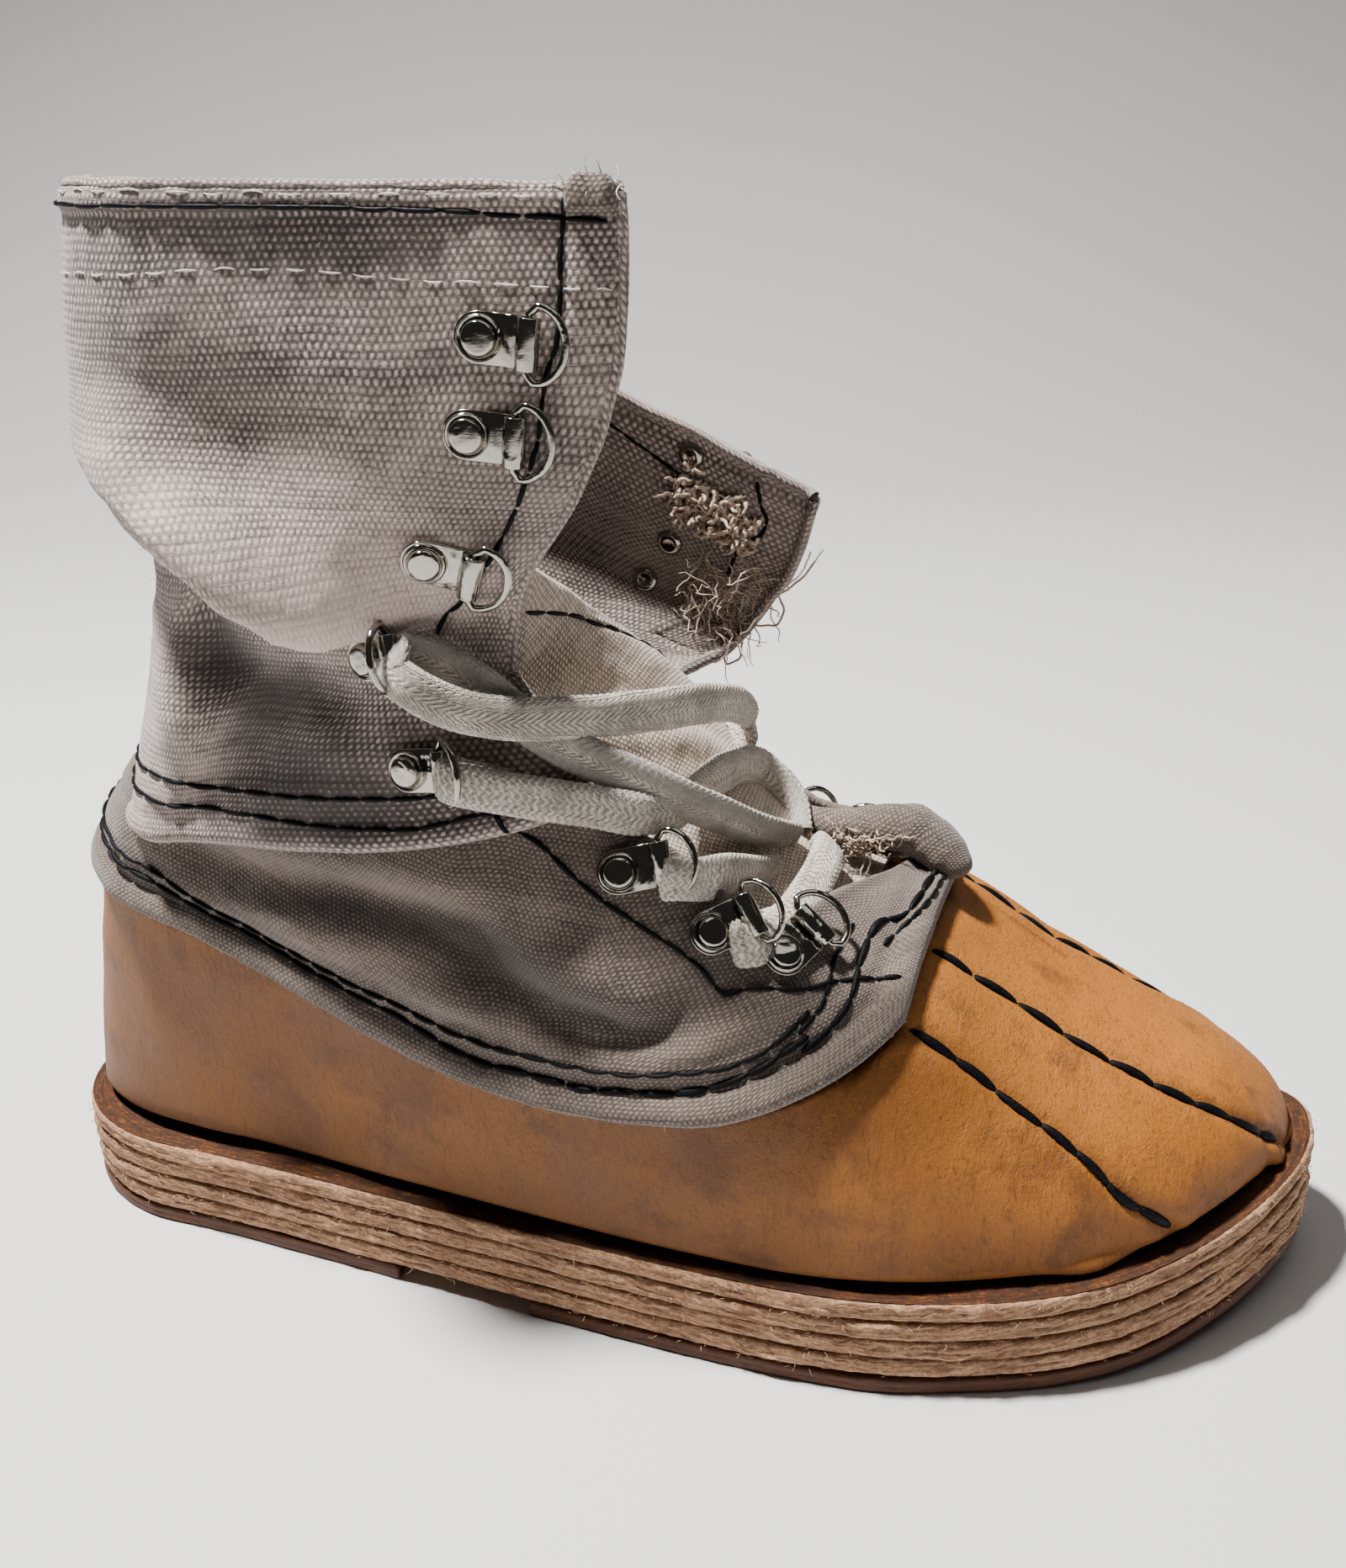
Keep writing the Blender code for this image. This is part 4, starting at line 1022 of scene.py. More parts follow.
def lace_finish():
    """Flat knitted cotton: rows of small loops, fuzzy and a little grey, with painted shade in its hollows.
    """
    finish = Finish(
        "cotton_lace", Roughness=0.95, Specular_IOR_Level=0.15, Sheen_Weight=0.4, Sheen_Roughness=0.5
    )
    threads = finish.threads()
    where = finish.where()
    along, across, _ = finish.parts(threads)
    jitter = finish.noise(where, 700, 2, 0.6)
    slant = (across * 0.5 + jitter * 0.15).maths("PINGPONG", 0.5)
    loops = ((along * 0.62 + slant * 1.1 + jitter * 0.35) * 2 * math.pi).maths("SINE")
    fuzz = finish.noise(where, 1300, 4, 0.75, 0.8)
    felt = finish.noise(finish.stretched(threads, (0.35, 1.1, 1.0)), 1.3, 4, 0.75, 1.5)
    soil = finish.noise(where, 70, 3, 0.65, 0.4)
    height = loops * 0.5 + fuzz * 0.9 + felt * 1.4
    tone = loops * 0.11 + fuzz * 0.6 + felt * 0.7
    # the dark base colour is painted shade where the fuzz and felt that raise the bump are low
    colour = finish.coated((0.30, 0.25, 0.20), ((1.0, 0.90, 0.78), tone, 0.40, 0.80, 1.0))
    colour = finish.coated(colour, ((0.30, 0.255, 0.21), soil, 0.46, 0.66, 0.6))
    return finish.wear(Base_Color=colour, Normal=finish.bump(height, 0.0006, 0.9))


def thread_finish(name, colour, roughness):
    finish = Finish(name, Specular_IOR_Level=0.1)
    where = finish.where()
    strands = finish.noise(finish.stretched(where, (1.0, 1.6, 1.6)), 1500, 2, 0.5)
    lighter = tuple(value * 2.2 + 0.002 for value in colour)
    return finish.wear(
        Base_Color=finish.coated(colour, (lighter, strands, 0.5, 0.8, 1.0)),
        Roughness=finish.spread(strands, 0.2, 0.8, roughness - 0.1, roughness + 0.15),
        Normal=finish.bump(strands, 0.00015, 0.5),
    )


def nickel_finish(name, tint, low, high):
    """Plated steel: bright, with fine scratches and a few dull patches, coloured darker than plating as a
    painted reflection of a dark room.
    """
    finish = Finish(name, Metallic=1.0)
    where = finish.where()
    dull = finish.noise(where, 420, 3, 0.6)
    scratch = finish.noise(finish.stretched(where, (0.15, 1.0, 1.0)), 2600, 2, 0.6)
    dents = finish.noise(where, 150, 2, 0.5, 0.6)
    colour = finish.coated(tint, (tuple(value * 0.6 for value in tint), dull, 0.5, 0.8, 0.5))
    roughness = finish.spread(dull, 0.35, 0.75, low, high) + finish.spread(scratch, 0.6, 0.75) * 0.06
    relief = finish.bump(scratch * 0.03 + dents, 0.0011, 0.8)
    return finish.wear(Base_Color=colour, Roughness=roughness, Normal=relief)


def sole_finish(name, pale, tan, deep, fibre_high, shine):
    """Cut edge of thick leather: fibres drawn along the edge, pale fuzz over crevices painted dark as shade.
    """
    finish = Finish(name, Specular_IOR_Level=0.35)
    threads = finish.threads()
    where = finish.where()
    fibre = finish.noise(finish.stretched(threads, (0.07, 0.9, 1.0)), 1.9, 5, 0.72, 0.4)
    tufts = finish.noise(where, 950, 4, 0.75, 0.8)
    clouds = finish.noise(where, 45, 4, 0.65, 0.4)
    tone = fibre * 0.6 + tufts * 0.4
    # the deep colour is painted shade in the crevices, where the fibres and tufts that raise the bump are
    # low, and also lies in random dark clouds
    coats = ((tan, tone, 0.36, 0.62, 1.0), (pale, tone, 0.52, 0.72, 1.0), (deep, clouds, 0.50, 0.68, 0.45))
    colour = finish.coated(deep, *coats)
    height = fibre * 0.7 + tufts * 0.6
    roughness = finish.spread(tone, 0.3, 0.7, shine, min(1.0, shine + 0.25))
    return finish.wear(Base_Color=colour, Roughness=roughness, Normal=finish.bump(height, fibre_high, 0.8))


def make_finishes():
    return {
        "leather": leather_finish(
            "waxed_leather",
            (0.235, 0.09, 0.015), (0.155, 0.055, 0.0085), (0.066, 0.02, 0.004), (0.36, 0.122, 0.013),
        ),
        "edge": leather_finish(
            "leather_edge", (0.50, 0.27, 0.13), (0.36, 0.17, 0.07), (0.12, 0.05, 0.02), (0.52, 0.28, 0.12)
        ),
        "shaft": canvas_finish(
            "shaft_duck", (0.58, 0.468, 0.415), (0.03, 0.022, 0.020), (0.06, 0.05, 0.048), (1.5, 1.25)
        ),
        # darker and flatter than the shaft's duck, partly as painted shade from the shaft hanging over the
        # quarter
        "quarter": canvas_finish(
            "quarter_duck_and_shade", (0.235, 0.18, 0.146), (0.032, 0.024, 0.02), (0.048, 0.038, 0.031), (1.2, 0.88)
        ),
        "tongue": canvas_finish(
            "tongue_duck", (0.92, 0.77, 0.63), (0.15, 0.115, 0.09), (0.16, 0.125, 0.10), (1.1, 0.98)
        ),
        "lace": lace_finish(),
        "black": thread_finish("black_waxed_thread", (0.002, 0.002, 0.003), 0.55),
        "white": thread_finish("white_thread", (0.55, 0.53, 0.50), 0.8),
        "frayed": thread_finish("frayed_cotton", (0.42, 0.33, 0.26), 0.9),
        "fuzz": thread_finish("cotton_fuzz", (0.34, 0.30, 0.27), 0.9),
        "sole_fibre": thread_finish("loose_leather_fibre", (0.42, 0.28, 0.18), 0.9),
        # tint darker than plated nickel: painted reflection of a dark room
        "nickel": nickel_finish("nickel", (0.36, 0.34, 0.30), 0.06, 0.18),
        "layers": sole_finish(
            "cut_sole_leather", (0.78, 0.52, 0.34), (0.50, 0.29, 0.165), (0.13, 0.055, 0.024), 0.0006, 0.75
        ),
        "ledge": sole_finish(
            "burnished_sole_leather",
            (0.26, 0.095, 0.014), (0.07, 0.021, 0.003), (0.01, 0.003, 0.001), 0.0003, 0.8,
        ),
        "tread": sole_finish(
            "tread_leather", (0.17, 0.052, 0.009), (0.09, 0.026, 0.005), (0.03, 0.008, 0.002), 0.0002, 0.5
        ),
    }


# Sole


def sole_outline(start, end, step=0.7):
    """Closed outline of a layer between two stations, evenly spaced, its normals and its distance along."""
    turn = np.linspace(0, math.pi, 900)
    x = start + (end - start) * (1 - np.cos(turn)) / 2
    near = np.stack([x, middle(x) - sole_half(x, -1), 0 * x], 1)
    far = np.stack([x, middle(x) + sole_half(x, 1), 0 * x], 1)[::-1]
    loop = np.concatenate([near, far[1:] if np.allclose(near[-1], far[0]) else far])
    if np.allclose(loop[0], loop[-1]):
        loop = loop[:-1]
    points, _ = spaced(np.concatenate([loop, loop[:1]]), step)
    points = points[:-1]
    along = unit(np.roll(points, -1, 0) - np.roll(points, 1, 0))
    outward = np.stack([along[:, 1], -along[:, 0], 0 * along[:, 0]], 1)
    return points, outward


def add_layer(name, start, end, bottom, thick, finish, slot, rough, seed, step=0.7):
    """A layer of sole leather: flat above and below, with an uneven fibrous edge."""
    points, outward = sole_outline(start, end, step)
    count = len(points)
    centre_x = np.clip(points[:, 0], start + min(HEEL_ROUND, 0.4 * (end - start)), end - 60)
    centre = np.stack([centre_x, middle(centre_x), 0 * centre_x], 1)
    reach = np.linalg.norm(points - centre, axis=1)
    # rows over the edge: how far in from the outline, 999 for its middle, and share of the thickness
    rows = table(
        "inset share",
        (999, 0.0), (12, 0.0), (3, 0.0), (1.2, 0.0), (0.45, 0.03), (0.1, 0.13), (0.0, 0.27), (0.0, 0.42),
        (0.12, 0.5), (0.0, 0.58), (0.0, 0.73), (0.1, 0.87), (0.45, 0.97), (1.2, 1.0), (2.4, 1.0), (4, 1.0),
        (6, 1.0), (8.5, 1.0), (12, 1.0), (16, 1.0), (999, 1.0),
    )
    last = len(rows["inset"]) - 1

    def surface(u, v):
        at = np.rint(u * count).astype(int) % count
        row = np.rint(v * last).astype(int)
        inset = np.minimum(rows["inset"][row], reach[at])
        share = rows["share"][row]
        flat = points[at] + (centre[at] - points[at]) * (inset / reach[at])[:, None]
        flat[:, 2] = bottom + spring(flat[:, 0]) + thick * share
        near_edge = np.exp(-np.minimum(inset, 50) / 1.5)
        side = np.sin(np.pi * share) ** 0.5
        sunk = np.maximum(0, wander(flat, 40, seed + 20) - 0.1) * (1 - side)
        swell = 0.42 * wander(flat, 24, seed) - 0.55 * sunk
        fibres = wander(flat * (0.35, 0.35, 2.6), 1.6, seed + 7, 2)
        torn = np.maximum(0, wander(flat * (0.5, 0.5, 2.0), 3.2, seed + 3) - 0.35)
        flat += outward[at] * ((swell + rough * (0.32 * fibres + 0.7 * torn) * side) * near_edge)[:, None]
        frayed = 0.16 * rough * wander(flat, 1.5, seed + 11) * near_edge
        sag = 0.42 * wander(flat * (1, 1, 0), 30, seed + 5) * near_edge
        keep = (inset < 20) * np.where(bottom < TREAD, share, 1.0)
        flat[:, 2] += (frayed + sag * side) * keep
        return flat

    bm = bmesh.new()
    add_grid(bm, count, last, surface, 0)
    finished(f"{name}_skin", merged(bm, 0.00002), finish, slot, replaces=(name,))


def add_ledge(finishes):
    """The margin of the sole's top face round the leather: burnished and scored."""
    points, outward = sole_outline(0, LENGTH)
    count = len(points)
    insets = np.array([0.7, 1.2, 2.0, 3.2, 4.6, 6.2, 8.0, 10.0, 12.0])

    def surface(u, v):
        at = np.rint(u * count).astype(int) % count
        inset = insets[np.rint(v * (len(insets) - 1)).astype(int)]
        flat = points[at] - outward[at] * inset[:, None]
        rim = np.exp(-inset / 1.0)
        rough = (0.10 * wander(flat, 1.8, 2.0) + 0.06 * wander(flat, 0.8, 5.0)) * (1 - rim)
        flat[:, 2] = LEDGE + spring(flat[:, 0]) + 0.13 + rough + 0.20 * wander(flat, 34, 11.0) * rim
        return flat

    bm = bmesh.new()
    add_grid(bm, count, len(insets) - 1, surface, 0)
    finished("sole_ledge", merged(bm, 0.00002), finishes["ledge"], "sole_leather")


def add_sole(finishes):
    add_ledge(finishes)
    tread = finishes["tread"]
    layers = finishes["layers"]
    front = FOREFOOT_TREAD_START
    add_layer("heel_tread", 0, HEEL_TREAD_END, 0, TREAD, tread, "tread_leather", 0.25, 1.0)
    add_layer("forefoot_tread", front, LENGTH, 0, TREAD, tread, "tread_leather", 0.3, 2.0)
    for number in range(LAYERS):
        bottom = TREAD + GAP + number * (LAYER + GAP)
        name = f"sole_layer_{number + 1}"
        add_layer(name, 0, LENGTH, bottom, LAYER, layers, "sole_leather", 1.0, 3.0 + number)


# Leather


def seam_height(paths, points):
    """Leather drawn down along each seam and puffed up beside it."""
    total = np.zeros(points.shape[:-1])
    for path in paths:
        distance = path.nearest(points)[0]
        total += 0.45 * hump(distance - 3.4, 2.2) - 1.0 * hump(distance, 1.4)
    return total


def leather_skin(side):
    def plain(x, angle):
        return foot(x, side, angle)

    seams = {-1: (NEAR_SEAM, CENTRE_SEAM), 1: (by_angle(FAR_SEAM),)}[side]
    paths = [Path(plain(*route(seam, np.linspace(0, 1, 40)))) for seam in seams]
    pleat = Path(plain(np.array((280.2, 281.0, 281.2)), np.array((0.2, -0.3, -0.95))))

    def height(x, angle, points):
        soft = 0.9 * wander(points, 46, 1.7) + 0.35 * wander(points, 17, 4.1) + 0.10 * wander(points, 6, 9.0)
        low_edge = np.clip(-angle, 0, 1)
        wavy = 0.7 * wander(points * (1, 1, 0.2), 21, 6.0) * ease(1 - np.abs(angle) / 0.5)
        proud = seam_height(paths, points) + soft * ease((angle + 0.6) / 0.9) + wavy
        behind_front = ease((VAMP_START + front_slant(angle) - 1.0 - x) / 2)
        under = ease((angle - canvas_hem(x) + 0.005) / 0.04) * behind_front
        bulge = 2.0 * hump(x - 243, 7.0) * ease(1 - np.abs(angle + 0.45) / 0.55) if side < 0 else 0
        if side < 0:
            away = pleat.nearest(points)[0]
            bulge = bulge + 1.0 * hump(away, 1.9) - 0.4 * hump(away - 3.6, 1.2)
        return np.minimum(proud, 1.6) * (1 - 0.3 * low_edge) * (1 - under) - 3.2 * under + bulge

    return Skin(plain, -side, (0.4, 0.01), height)


def add_leather(finishes, skins):
    bm = bmesh.new()
    for side in (-1, 1):
        skin = skins["leather", side]

        def surface(u, v):
            x = FOOT_BACK + (FOOT_TIP - FOOT_BACK) * (1 - np.cos(u * math.pi)) / 2
            top = leather_top(x)
            low = 0.22
            angle = np.where(v < low, -1 + v / low, top * (v - low) / (1 - low))
            return skin.at(x, angle)

        add_grid(bm, 230, 64, surface)
    merged(bm, 0.00003)
    look = (finishes["leather"], "natural_leather")
    finished("waxed_leather_lower", bm, *look, replaces=("leather_lower",), wall=LEATHER_WALL)


# Canvas


def quarter_skin(side):
    def plain(x, angle):
        return foot(x, side, angle, QUARTER_LIFT)

    def by_height(x, z):
        return plain(x, angle_at(x, z, QUARTER_LIFT))

    folds = fold_paths(QUARTER_FOLDS if side < 0 else INNER_QUARTER_FOLDS, by_height)
    along = along_quarter(np.linspace(0, 1, 90) ** 2)
    front = np.linspace(VAMP_CORNER, math.pi / 2, 14)[1:]
    low_edge = plain(along, canvas_hem(along))
    hem = Path(np.concatenate([low_edge, plain(VAMP_START + front_slant(front), front)]))
    throat = np.linspace(THROAT["x"][0], THROAT["x"][-1], 30)
    edge = Path(plain(throat, canvas_top(throat)))

    def height(x, angle, points):
        to_hem = hem.nearest(points)[0]
        to_edge = edge.nearest(points)[0]
        rise = np.where(to_hem < 2.2, (to_hem - 2.2) / 2.4, (to_hem - 2.2) / 4.0)
        at_heel = ease((30 - x) / 26) * ease((16 - to_hem) / 10)
        roll = 1.7 * np.sqrt(np.clip(1 - rise**2, 0, 1)) - 1.8 * at_heel
        ply = 0.4 * ease((13 - to_hem) / 2.0)
        groove = -0.5 * hump(to_hem - 7.4, 1.5)
        rolled_edge = 0.9 * hump(to_edge - 1.6, 1.8) - 0.8 * hump(to_edge, 0.8)
        behind = ease((to_hem - 7) / 8)
        soft = folded(folds, points) * behind + 0.9 * wander(points, 24, 3.3) * behind
        lumps = 0.30 * wander(points, 7, 8.8) + 0.12 * wander(points, 2.6, 2.2)
        lumps = lumps * (0.25 + 0.75 * ease(x / 45))
        return roll + ply + groove + rolled_edge + np.clip(soft, -2.2, 4.0) + lumps - 0.7 * hump(to_hem, 0.7)

    seats = []
    for x, outer_angle, inner_angle, stand, *_ in zip(*QUARTER_CLIPS.values()):
        seats.append((plain(x, outer_angle if side < 0 else inner_angle), stand))
    return Skin(plain, -side, (0.4, 0.008), height, seats)


def front_slant(angle):
    """How much further forward than VAMP_START the canvas ends at that angle."""
    return VAMP_SLANT * np.clip((angle - VAMP_CORNER) / (math.pi / 2 - VAMP_CORNER), 0, 1)


def cloth_top(x):
    """Upper edge of the quarter's cloth, which reaches up behind the shaft's band without a corner."""
    behind_band = 0.10 * ease((x - 95) / 25) * ease((154 - x) / 10)
    return np.mean([canvas_top(x + step) for step in (-7, -4, -1.5, 1.5, 4, 7)], axis=0) + behind_band


def add_quarter(finishes, skins):
    bm = bmesh.new()
    for side in (-1, 1):
        skin = skins["quarter", side]

        def grid_place(u, v):
            x = along_quarter(u * u * 1.2 / (u + 0.2))
            low = canvas_hem(x)
            near_close = ease((x - THROAT_CLOSE + 9) / 9)
            top = cloth_top(x) * (1 - near_close) + canvas_top(x) * near_close
            angle = low + (top - low) * v
            near_front = ease((x - THROAT_CLOSE) / (VAMP_START - THROAT_CLOSE))
            return x + front_slant(angle) * near_front, angle

        def surface(u, v):
            return skin.at(*grid_place(u, v))

        # painted light and shade with some soiling: the listed paler and darker places, and the folds' ridges
        # paler and hollows darker
        def worn(u, v):
            x, angle = grid_place(u, v)
            points = skin.plain(x, angle)
            marks = light_and_soil_at(QUARTER_LIGHT_AND_SOIL, points[:, 0], points[:, 2]) if side < 0 else 0
            return marks + 0.10 * skin.height(x, angle, points)

        add_grid(bm, 190, 60, surface, 0, worn=worn)
    merged(bm, 0.00003)
    duck = finishes["quarter"]
    finished("canvas_quarter_skin", bm, duck, "canvas", replaces=("canvas_quarter",), wall=CANVAS_WALL)


def slump(turned, level):
    """The outer side's cloth slides down and hangs over in a lip, sloping out above it and in below."""
    lip = np.interp(turned, SLUMP["turned"][::-1], SLUMP["level"][::-1])
    high = np.interp(turned, SLUMP["turned"][::-1], SLUMP["high"][::-1])
    above = (level - lip) * SLUMP_MM
    return high * np.where(above > 0, hump(above, SLUMP_ABOVE), hump(above, SLUMP_BELOW))


def shaft_skin():
    folds = fold_paths(SHAFT_FOLDS, shaft)

    def height(turned, level, points):
        round_mm = (1 - np.abs(turned)) * SHAFT_HALF_ROUND
        up_mm = level * SHAFT_TALL
        down_mm = (1 - level) * SHAFT_TALL
        quiet = ease((round_mm - 1) / 6) * ease((down_mm - 3) / 9) * ease((up_mm - 8) / 16)
        total = (folded(folds, points) + slump(turned, level)) * quiet + 0.8 * wander(points, 28, 5.1) * quiet
        total = total + 0.22 * wander(points, 7, 1.9) + 0.10 * wander(points, 2.8, 6.6)
        collar = 0.7 * ease((4.6 - down_mm) / 1.2) - 0.5 * hump(down_mm - 4.4, 0.8)
        facing = np.interp(level, *FACING_WIDTH.values())
        fold_line = 0.5 * ease((facing - round_mm) / 1.5) - 0.35 * hump(round_mm - facing, 0.8)
        band = 0.8 * ease((16 - up_mm) / 3) + 1.5 * hump(up_mm - 2.6, 2.8)
        edges = -1.0 * hump(round_mm, 0.9) - 0.8 * hump(down_mm, 0.8) - 1.0 * hump(up_mm, 1.0)
        return total + collar + fold_line + band + edges

    seats = []
    for round_share, outer_level, inner_level, stand, *_ in zip(*SHAFT_CLIPS.values()):
        seats.append((shaft(-round_share, outer_level), stand))
        seats.append((shaft(round_share, inner_level), stand))
    return Skin(shaft, -1, (0.004, 0.006), height, seats)


def add_shaft(finishes, skins):
    skin = skins["shaft"]
    bm = bmesh.new()

    def turned(u):
        return 2 * u - 1

    # painted light and shade with some soiling: the listed paler and darker places, and the folds' ridges
    # paler and hollows darker
    def worn(u, v):
        relief = skin.height(turned(u), v, skin.plain(turned(u), v))
        return light_and_soil_at(SHAFT_LIGHT_AND_SOIL, turned(u), v, *LIGHT_AND_SOIL_MM) + 0.06 * relief

    add_grid(bm, 270, 116, lambda u, v: skin.at(turned(u), v), cut=SHAFT_CLOTH, worn=worn)
    duck = finishes["shaft"]
    finished("canvas_shaft_skin", merged(bm), duck, "canvas", replaces=("canvas_shaft",), wall=CANVAS_WALL)


def add_folded_edges(finishes, skins):
    """The cloth turned over at the collar and down both front edges, and the doubled corner of the collar."""
    skin = skins["shaft"]
    turned = np.linspace(-0.997, 0.997, 330)
    rim = skin.at(turned, 0.999, -1.35)
    rim[:, 2] += 0.25 * wander(rim, 13, 4.0)
    bm = bmesh.new()
    tube(bm, rim, 1.75 * (1 + 0.10 * wander(rim, 6, 2.0)), 1.15, sides=12, cloth=True)
    finished("collar_fold", merged(bm, 0.000005), finishes["shaft"], "canvas")
    for name, edge in (("outer", -0.998), ("inner", 0.998)):
        level = np.linspace(0.02, 0.99, 120)
        side = skin.at(edge, level, -0.9)
        normals = skin.normal(edge, level)
        bm = bmesh.new()
        swell = 1 + 0.12 * wander(side, 7, 3.0)
        tube(bm, side, 1.25 * swell, 1.5 * swell, up=normals, sides=12, cloth=True)
        finished(f"{name}_facing_fold", merged(bm, 0.000005), finishes["shaft"], "canvas")

    def corner(u, v):
        turned = -1.0 + 0.066 * u
        level = 0.957 + 0.045 * v
        edge = np.minimum(np.minimum(u, 1 - u) / 0.3, np.minimum(v, 1 - v) / 0.3)
        soft = 0.35 * wander(skin.plain(turned, level), 3.5, 1.0)
        top = 2.0 * ease((v - 0.6) / 0.4) * ease(np.minimum(u, 1 - u) / 0.25)
        cushion = skin.at(turned, np.minimum(level, 1.0), -0.4 + 1.9 * rounding(1 - edge) + soft)
        return cushion + np.stack([0 * u, 0 * u, top], -1)

    bm = bmesh.new()
    add_grid(bm, 26, 20, corner, 0)
    finished("collar_corner", merged(bm), finishes["quarter"], "canvas", wall=CORNER_WALL)


def tongue_skin():
    folds = fold_paths(TONGUE_FOLDS, tongue)

    def height(across, up, points):
        top = (1 - up) * TONGUE_TALL
        edge = np.minimum(across, 1 - across) * TONGUE_WIDE
        quiet = ease((top - 3) / 6)
        hem = 0.5 * ease((7 - top) / 1.5) - 0.4 * hump(top - 6.6, 0.8) - 0.6 * hump(top, 0.8)
        rolled = 0.5 * hump(edge - 1.5, 2.0) - 0.6 * hump(edge, 0.8)
        soft = np.clip(folded(folds, points), -1.8, 1.4) * quiet
        return soft + hem + rolled + 0.35 * wander(points, 11, 2.8) + 0.1 * wander(points, 3, 7.7)

    return Skin(tongue, 1, (0.01, 0.01), height)


def add_tongue(finishes, skins):
    bm = bmesh.new()
    skin = skins["tongue"]
    add_grid(bm, 90, 120, skin.at, 0.5)
    duck = finishes["tongue"]
    finished("tongue_skin", merged(bm), duck, "tongue_canvas", replaces=("tongue",), wall=CANVAS_WALL)


# Clips, rings and lace


def clip_frame(surface, toward_edge, up, side, stand, turn, yaw, roll):
    """Matrix of a clip: local X towards the opening's edge, Y along the ring's bar, Z out of the cloth."""
    outward = unit(np.cross(toward_edge, up))
    if outward[1] * side < 0:
        outward = -outward
    x_axis = unit(toward_edge)
    y_axis = np.cross(outward, x_axis)
    basis = Matrix([x_axis, y_axis, outward]).transposed()
    handed = -side
    turned = basis @ Matrix.Rotation(math.radians(turn) * handed, 3, "Z")
    turned = turned @ Matrix.Rotation(math.radians(yaw), 3, "Y")
    turned = turned @ Matrix.Rotation(math.radians(roll) * handed, 3, "X")
    return Matrix.Translation(place(surface) + outward * stand * MM) @ turned.to_4x4()


def clip_frames(side):
    """Frames and ring lifts of the eight clips on one side, from the top down."""

    def on_quarter(x, angle):
        return foot(x, side, angle, QUARTER_LIFT)

    frames = []
    small = 0.02
    for round_share, outer_level, inner_level, *seating, lift in zip(*SHAFT_CLIPS.values()):
        at = side * round_share
        level = outer_level if side < 0 else inner_level
        toward_edge = shaft(at + side * small, level) - shaft(at - side * small, level)
        up = shaft(at, level + small) - shaft(at, level - small)
        frames.append((clip_frame(shaft(at, level), toward_edge, up, side, *seating), lift))
    for x, outer_angle, inner_angle, *seating, lift in zip(*QUARTER_CLIPS.values()):
        angle = outer_angle if side < 0 else inner_angle
        forward = on_quarter(x + 1, angle) - on_quarter(x - 1, angle)
        up = on_quarter(x, angle + small) - on_quarter(x, angle - small)
        frames.append((clip_frame(on_quarter(x, angle), forward, up, side, *seating), lift))
    return frames


def lathe(bm, profile, steps=28):
    """A profile of (radius, height) in millimetres turned round the local Z axis."""
    corners = [bm.verts.new((radius * MM, 0, height * MM)) for radius, height in profile]
    edges = [bm.edges.new(pair) for pair in zip(corners, corners[1:])]
    turn = 2 * math.pi
    bmesh.ops.spin(
        bm, geom=corners + edges, cent=(0, 0, 0), axis=(0, 0, 1), angle=turn, steps=steps, use_merge=True
    )


def arc(centre_x, centre_z, radius, start, end, steps):
    turns = np.radians(np.linspace(start, end, steps + 1))
    return [(centre_x + radius * math.cos(turn), centre_z + radius * math.sin(turn)) for turn in turns]


def plate_mesh(bm):
    """The clip's strip: a round end, a step up to the curl and softened edges."""
    outline = [(-PLATE_BACK, PLATE_THICK), (-PLATE_BACK, 0), (4.6, 0)]
    outline += arc(BAR_OUT, CURL_OUTER, CURL_OUTER, -90, 200, 14)
    outline += arc(BAR_OUT, CURL_OUTER, CURL_BORE, 200, -90, 12)
    outline += [(6.2, PLATE_THICK), (5.2, PLATE_THICK + 0.25), (4.6, PLATE_THICK)]
    corners = [bm.verts.new((x * MM, -PLATE_WIDTH / 2 * MM, z * MM)) for x, z in outline]
    strip = bm.faces.new(corners)
    grown = bmesh.ops.extrude_face_region(bm, geom=[strip])["geom"]
    moved = [item for item in grown if isinstance(item, bmesh.types.BMVert)]
    bmesh.ops.translate(bm, verts=moved, vec=(0, PLATE_WIDTH * MM, 0))
    bevel = {"profile": 0.5, "affect": "EDGES", "material": -1}
    back = [
        edge
        for edge in bm.edges
        if all(vertex.co.x < (-PLATE_BACK + 0.01) * MM for vertex in edge.verts)
        and abs(edge.verts[0].co.z - edge.verts[1].co.z) > PLATE_THICK / 2 * MM
    ]
    bmesh.ops.bevel(bm, geom=back, offset=0.97 * PLATE_BACK * MM, segments=12, **bevel)
    bmesh.ops.recalc_face_normals(bm, faces=bm.faces)
    sharp = math.radians(60)
    rim = [edge for edge in bm.edges if len(edge.link_faces) == 2 and edge.calc_face_angle() > sharp]
    bmesh.ops.bevel(bm, geom=rim, offset=0.2 * MM, segments=2, **bevel)


# Profiles of a rivet's head and of its clenched back: radius and height
RIVET = (
    (0.0, 0.2), (3.75, 0.2), (3.95, 0.95), (3.9, 1.35), (3.6, 1.62), (3.25, 1.55), (3.08, 1.35),
    (2.98, 1.65), (2.9, 2.15), (2.65, 2.42), (2.2, 2.52), (1.0, 2.58), (0.0, 2.6),
)
RIVET_BACK = ((0, -1.2), (2.9, -1.2), (3.05, 0.5), (2.9, 1.0), (2.4, 1.4), (1.6, 1.6), (1.2, 1.4), (0.0, 1.3))


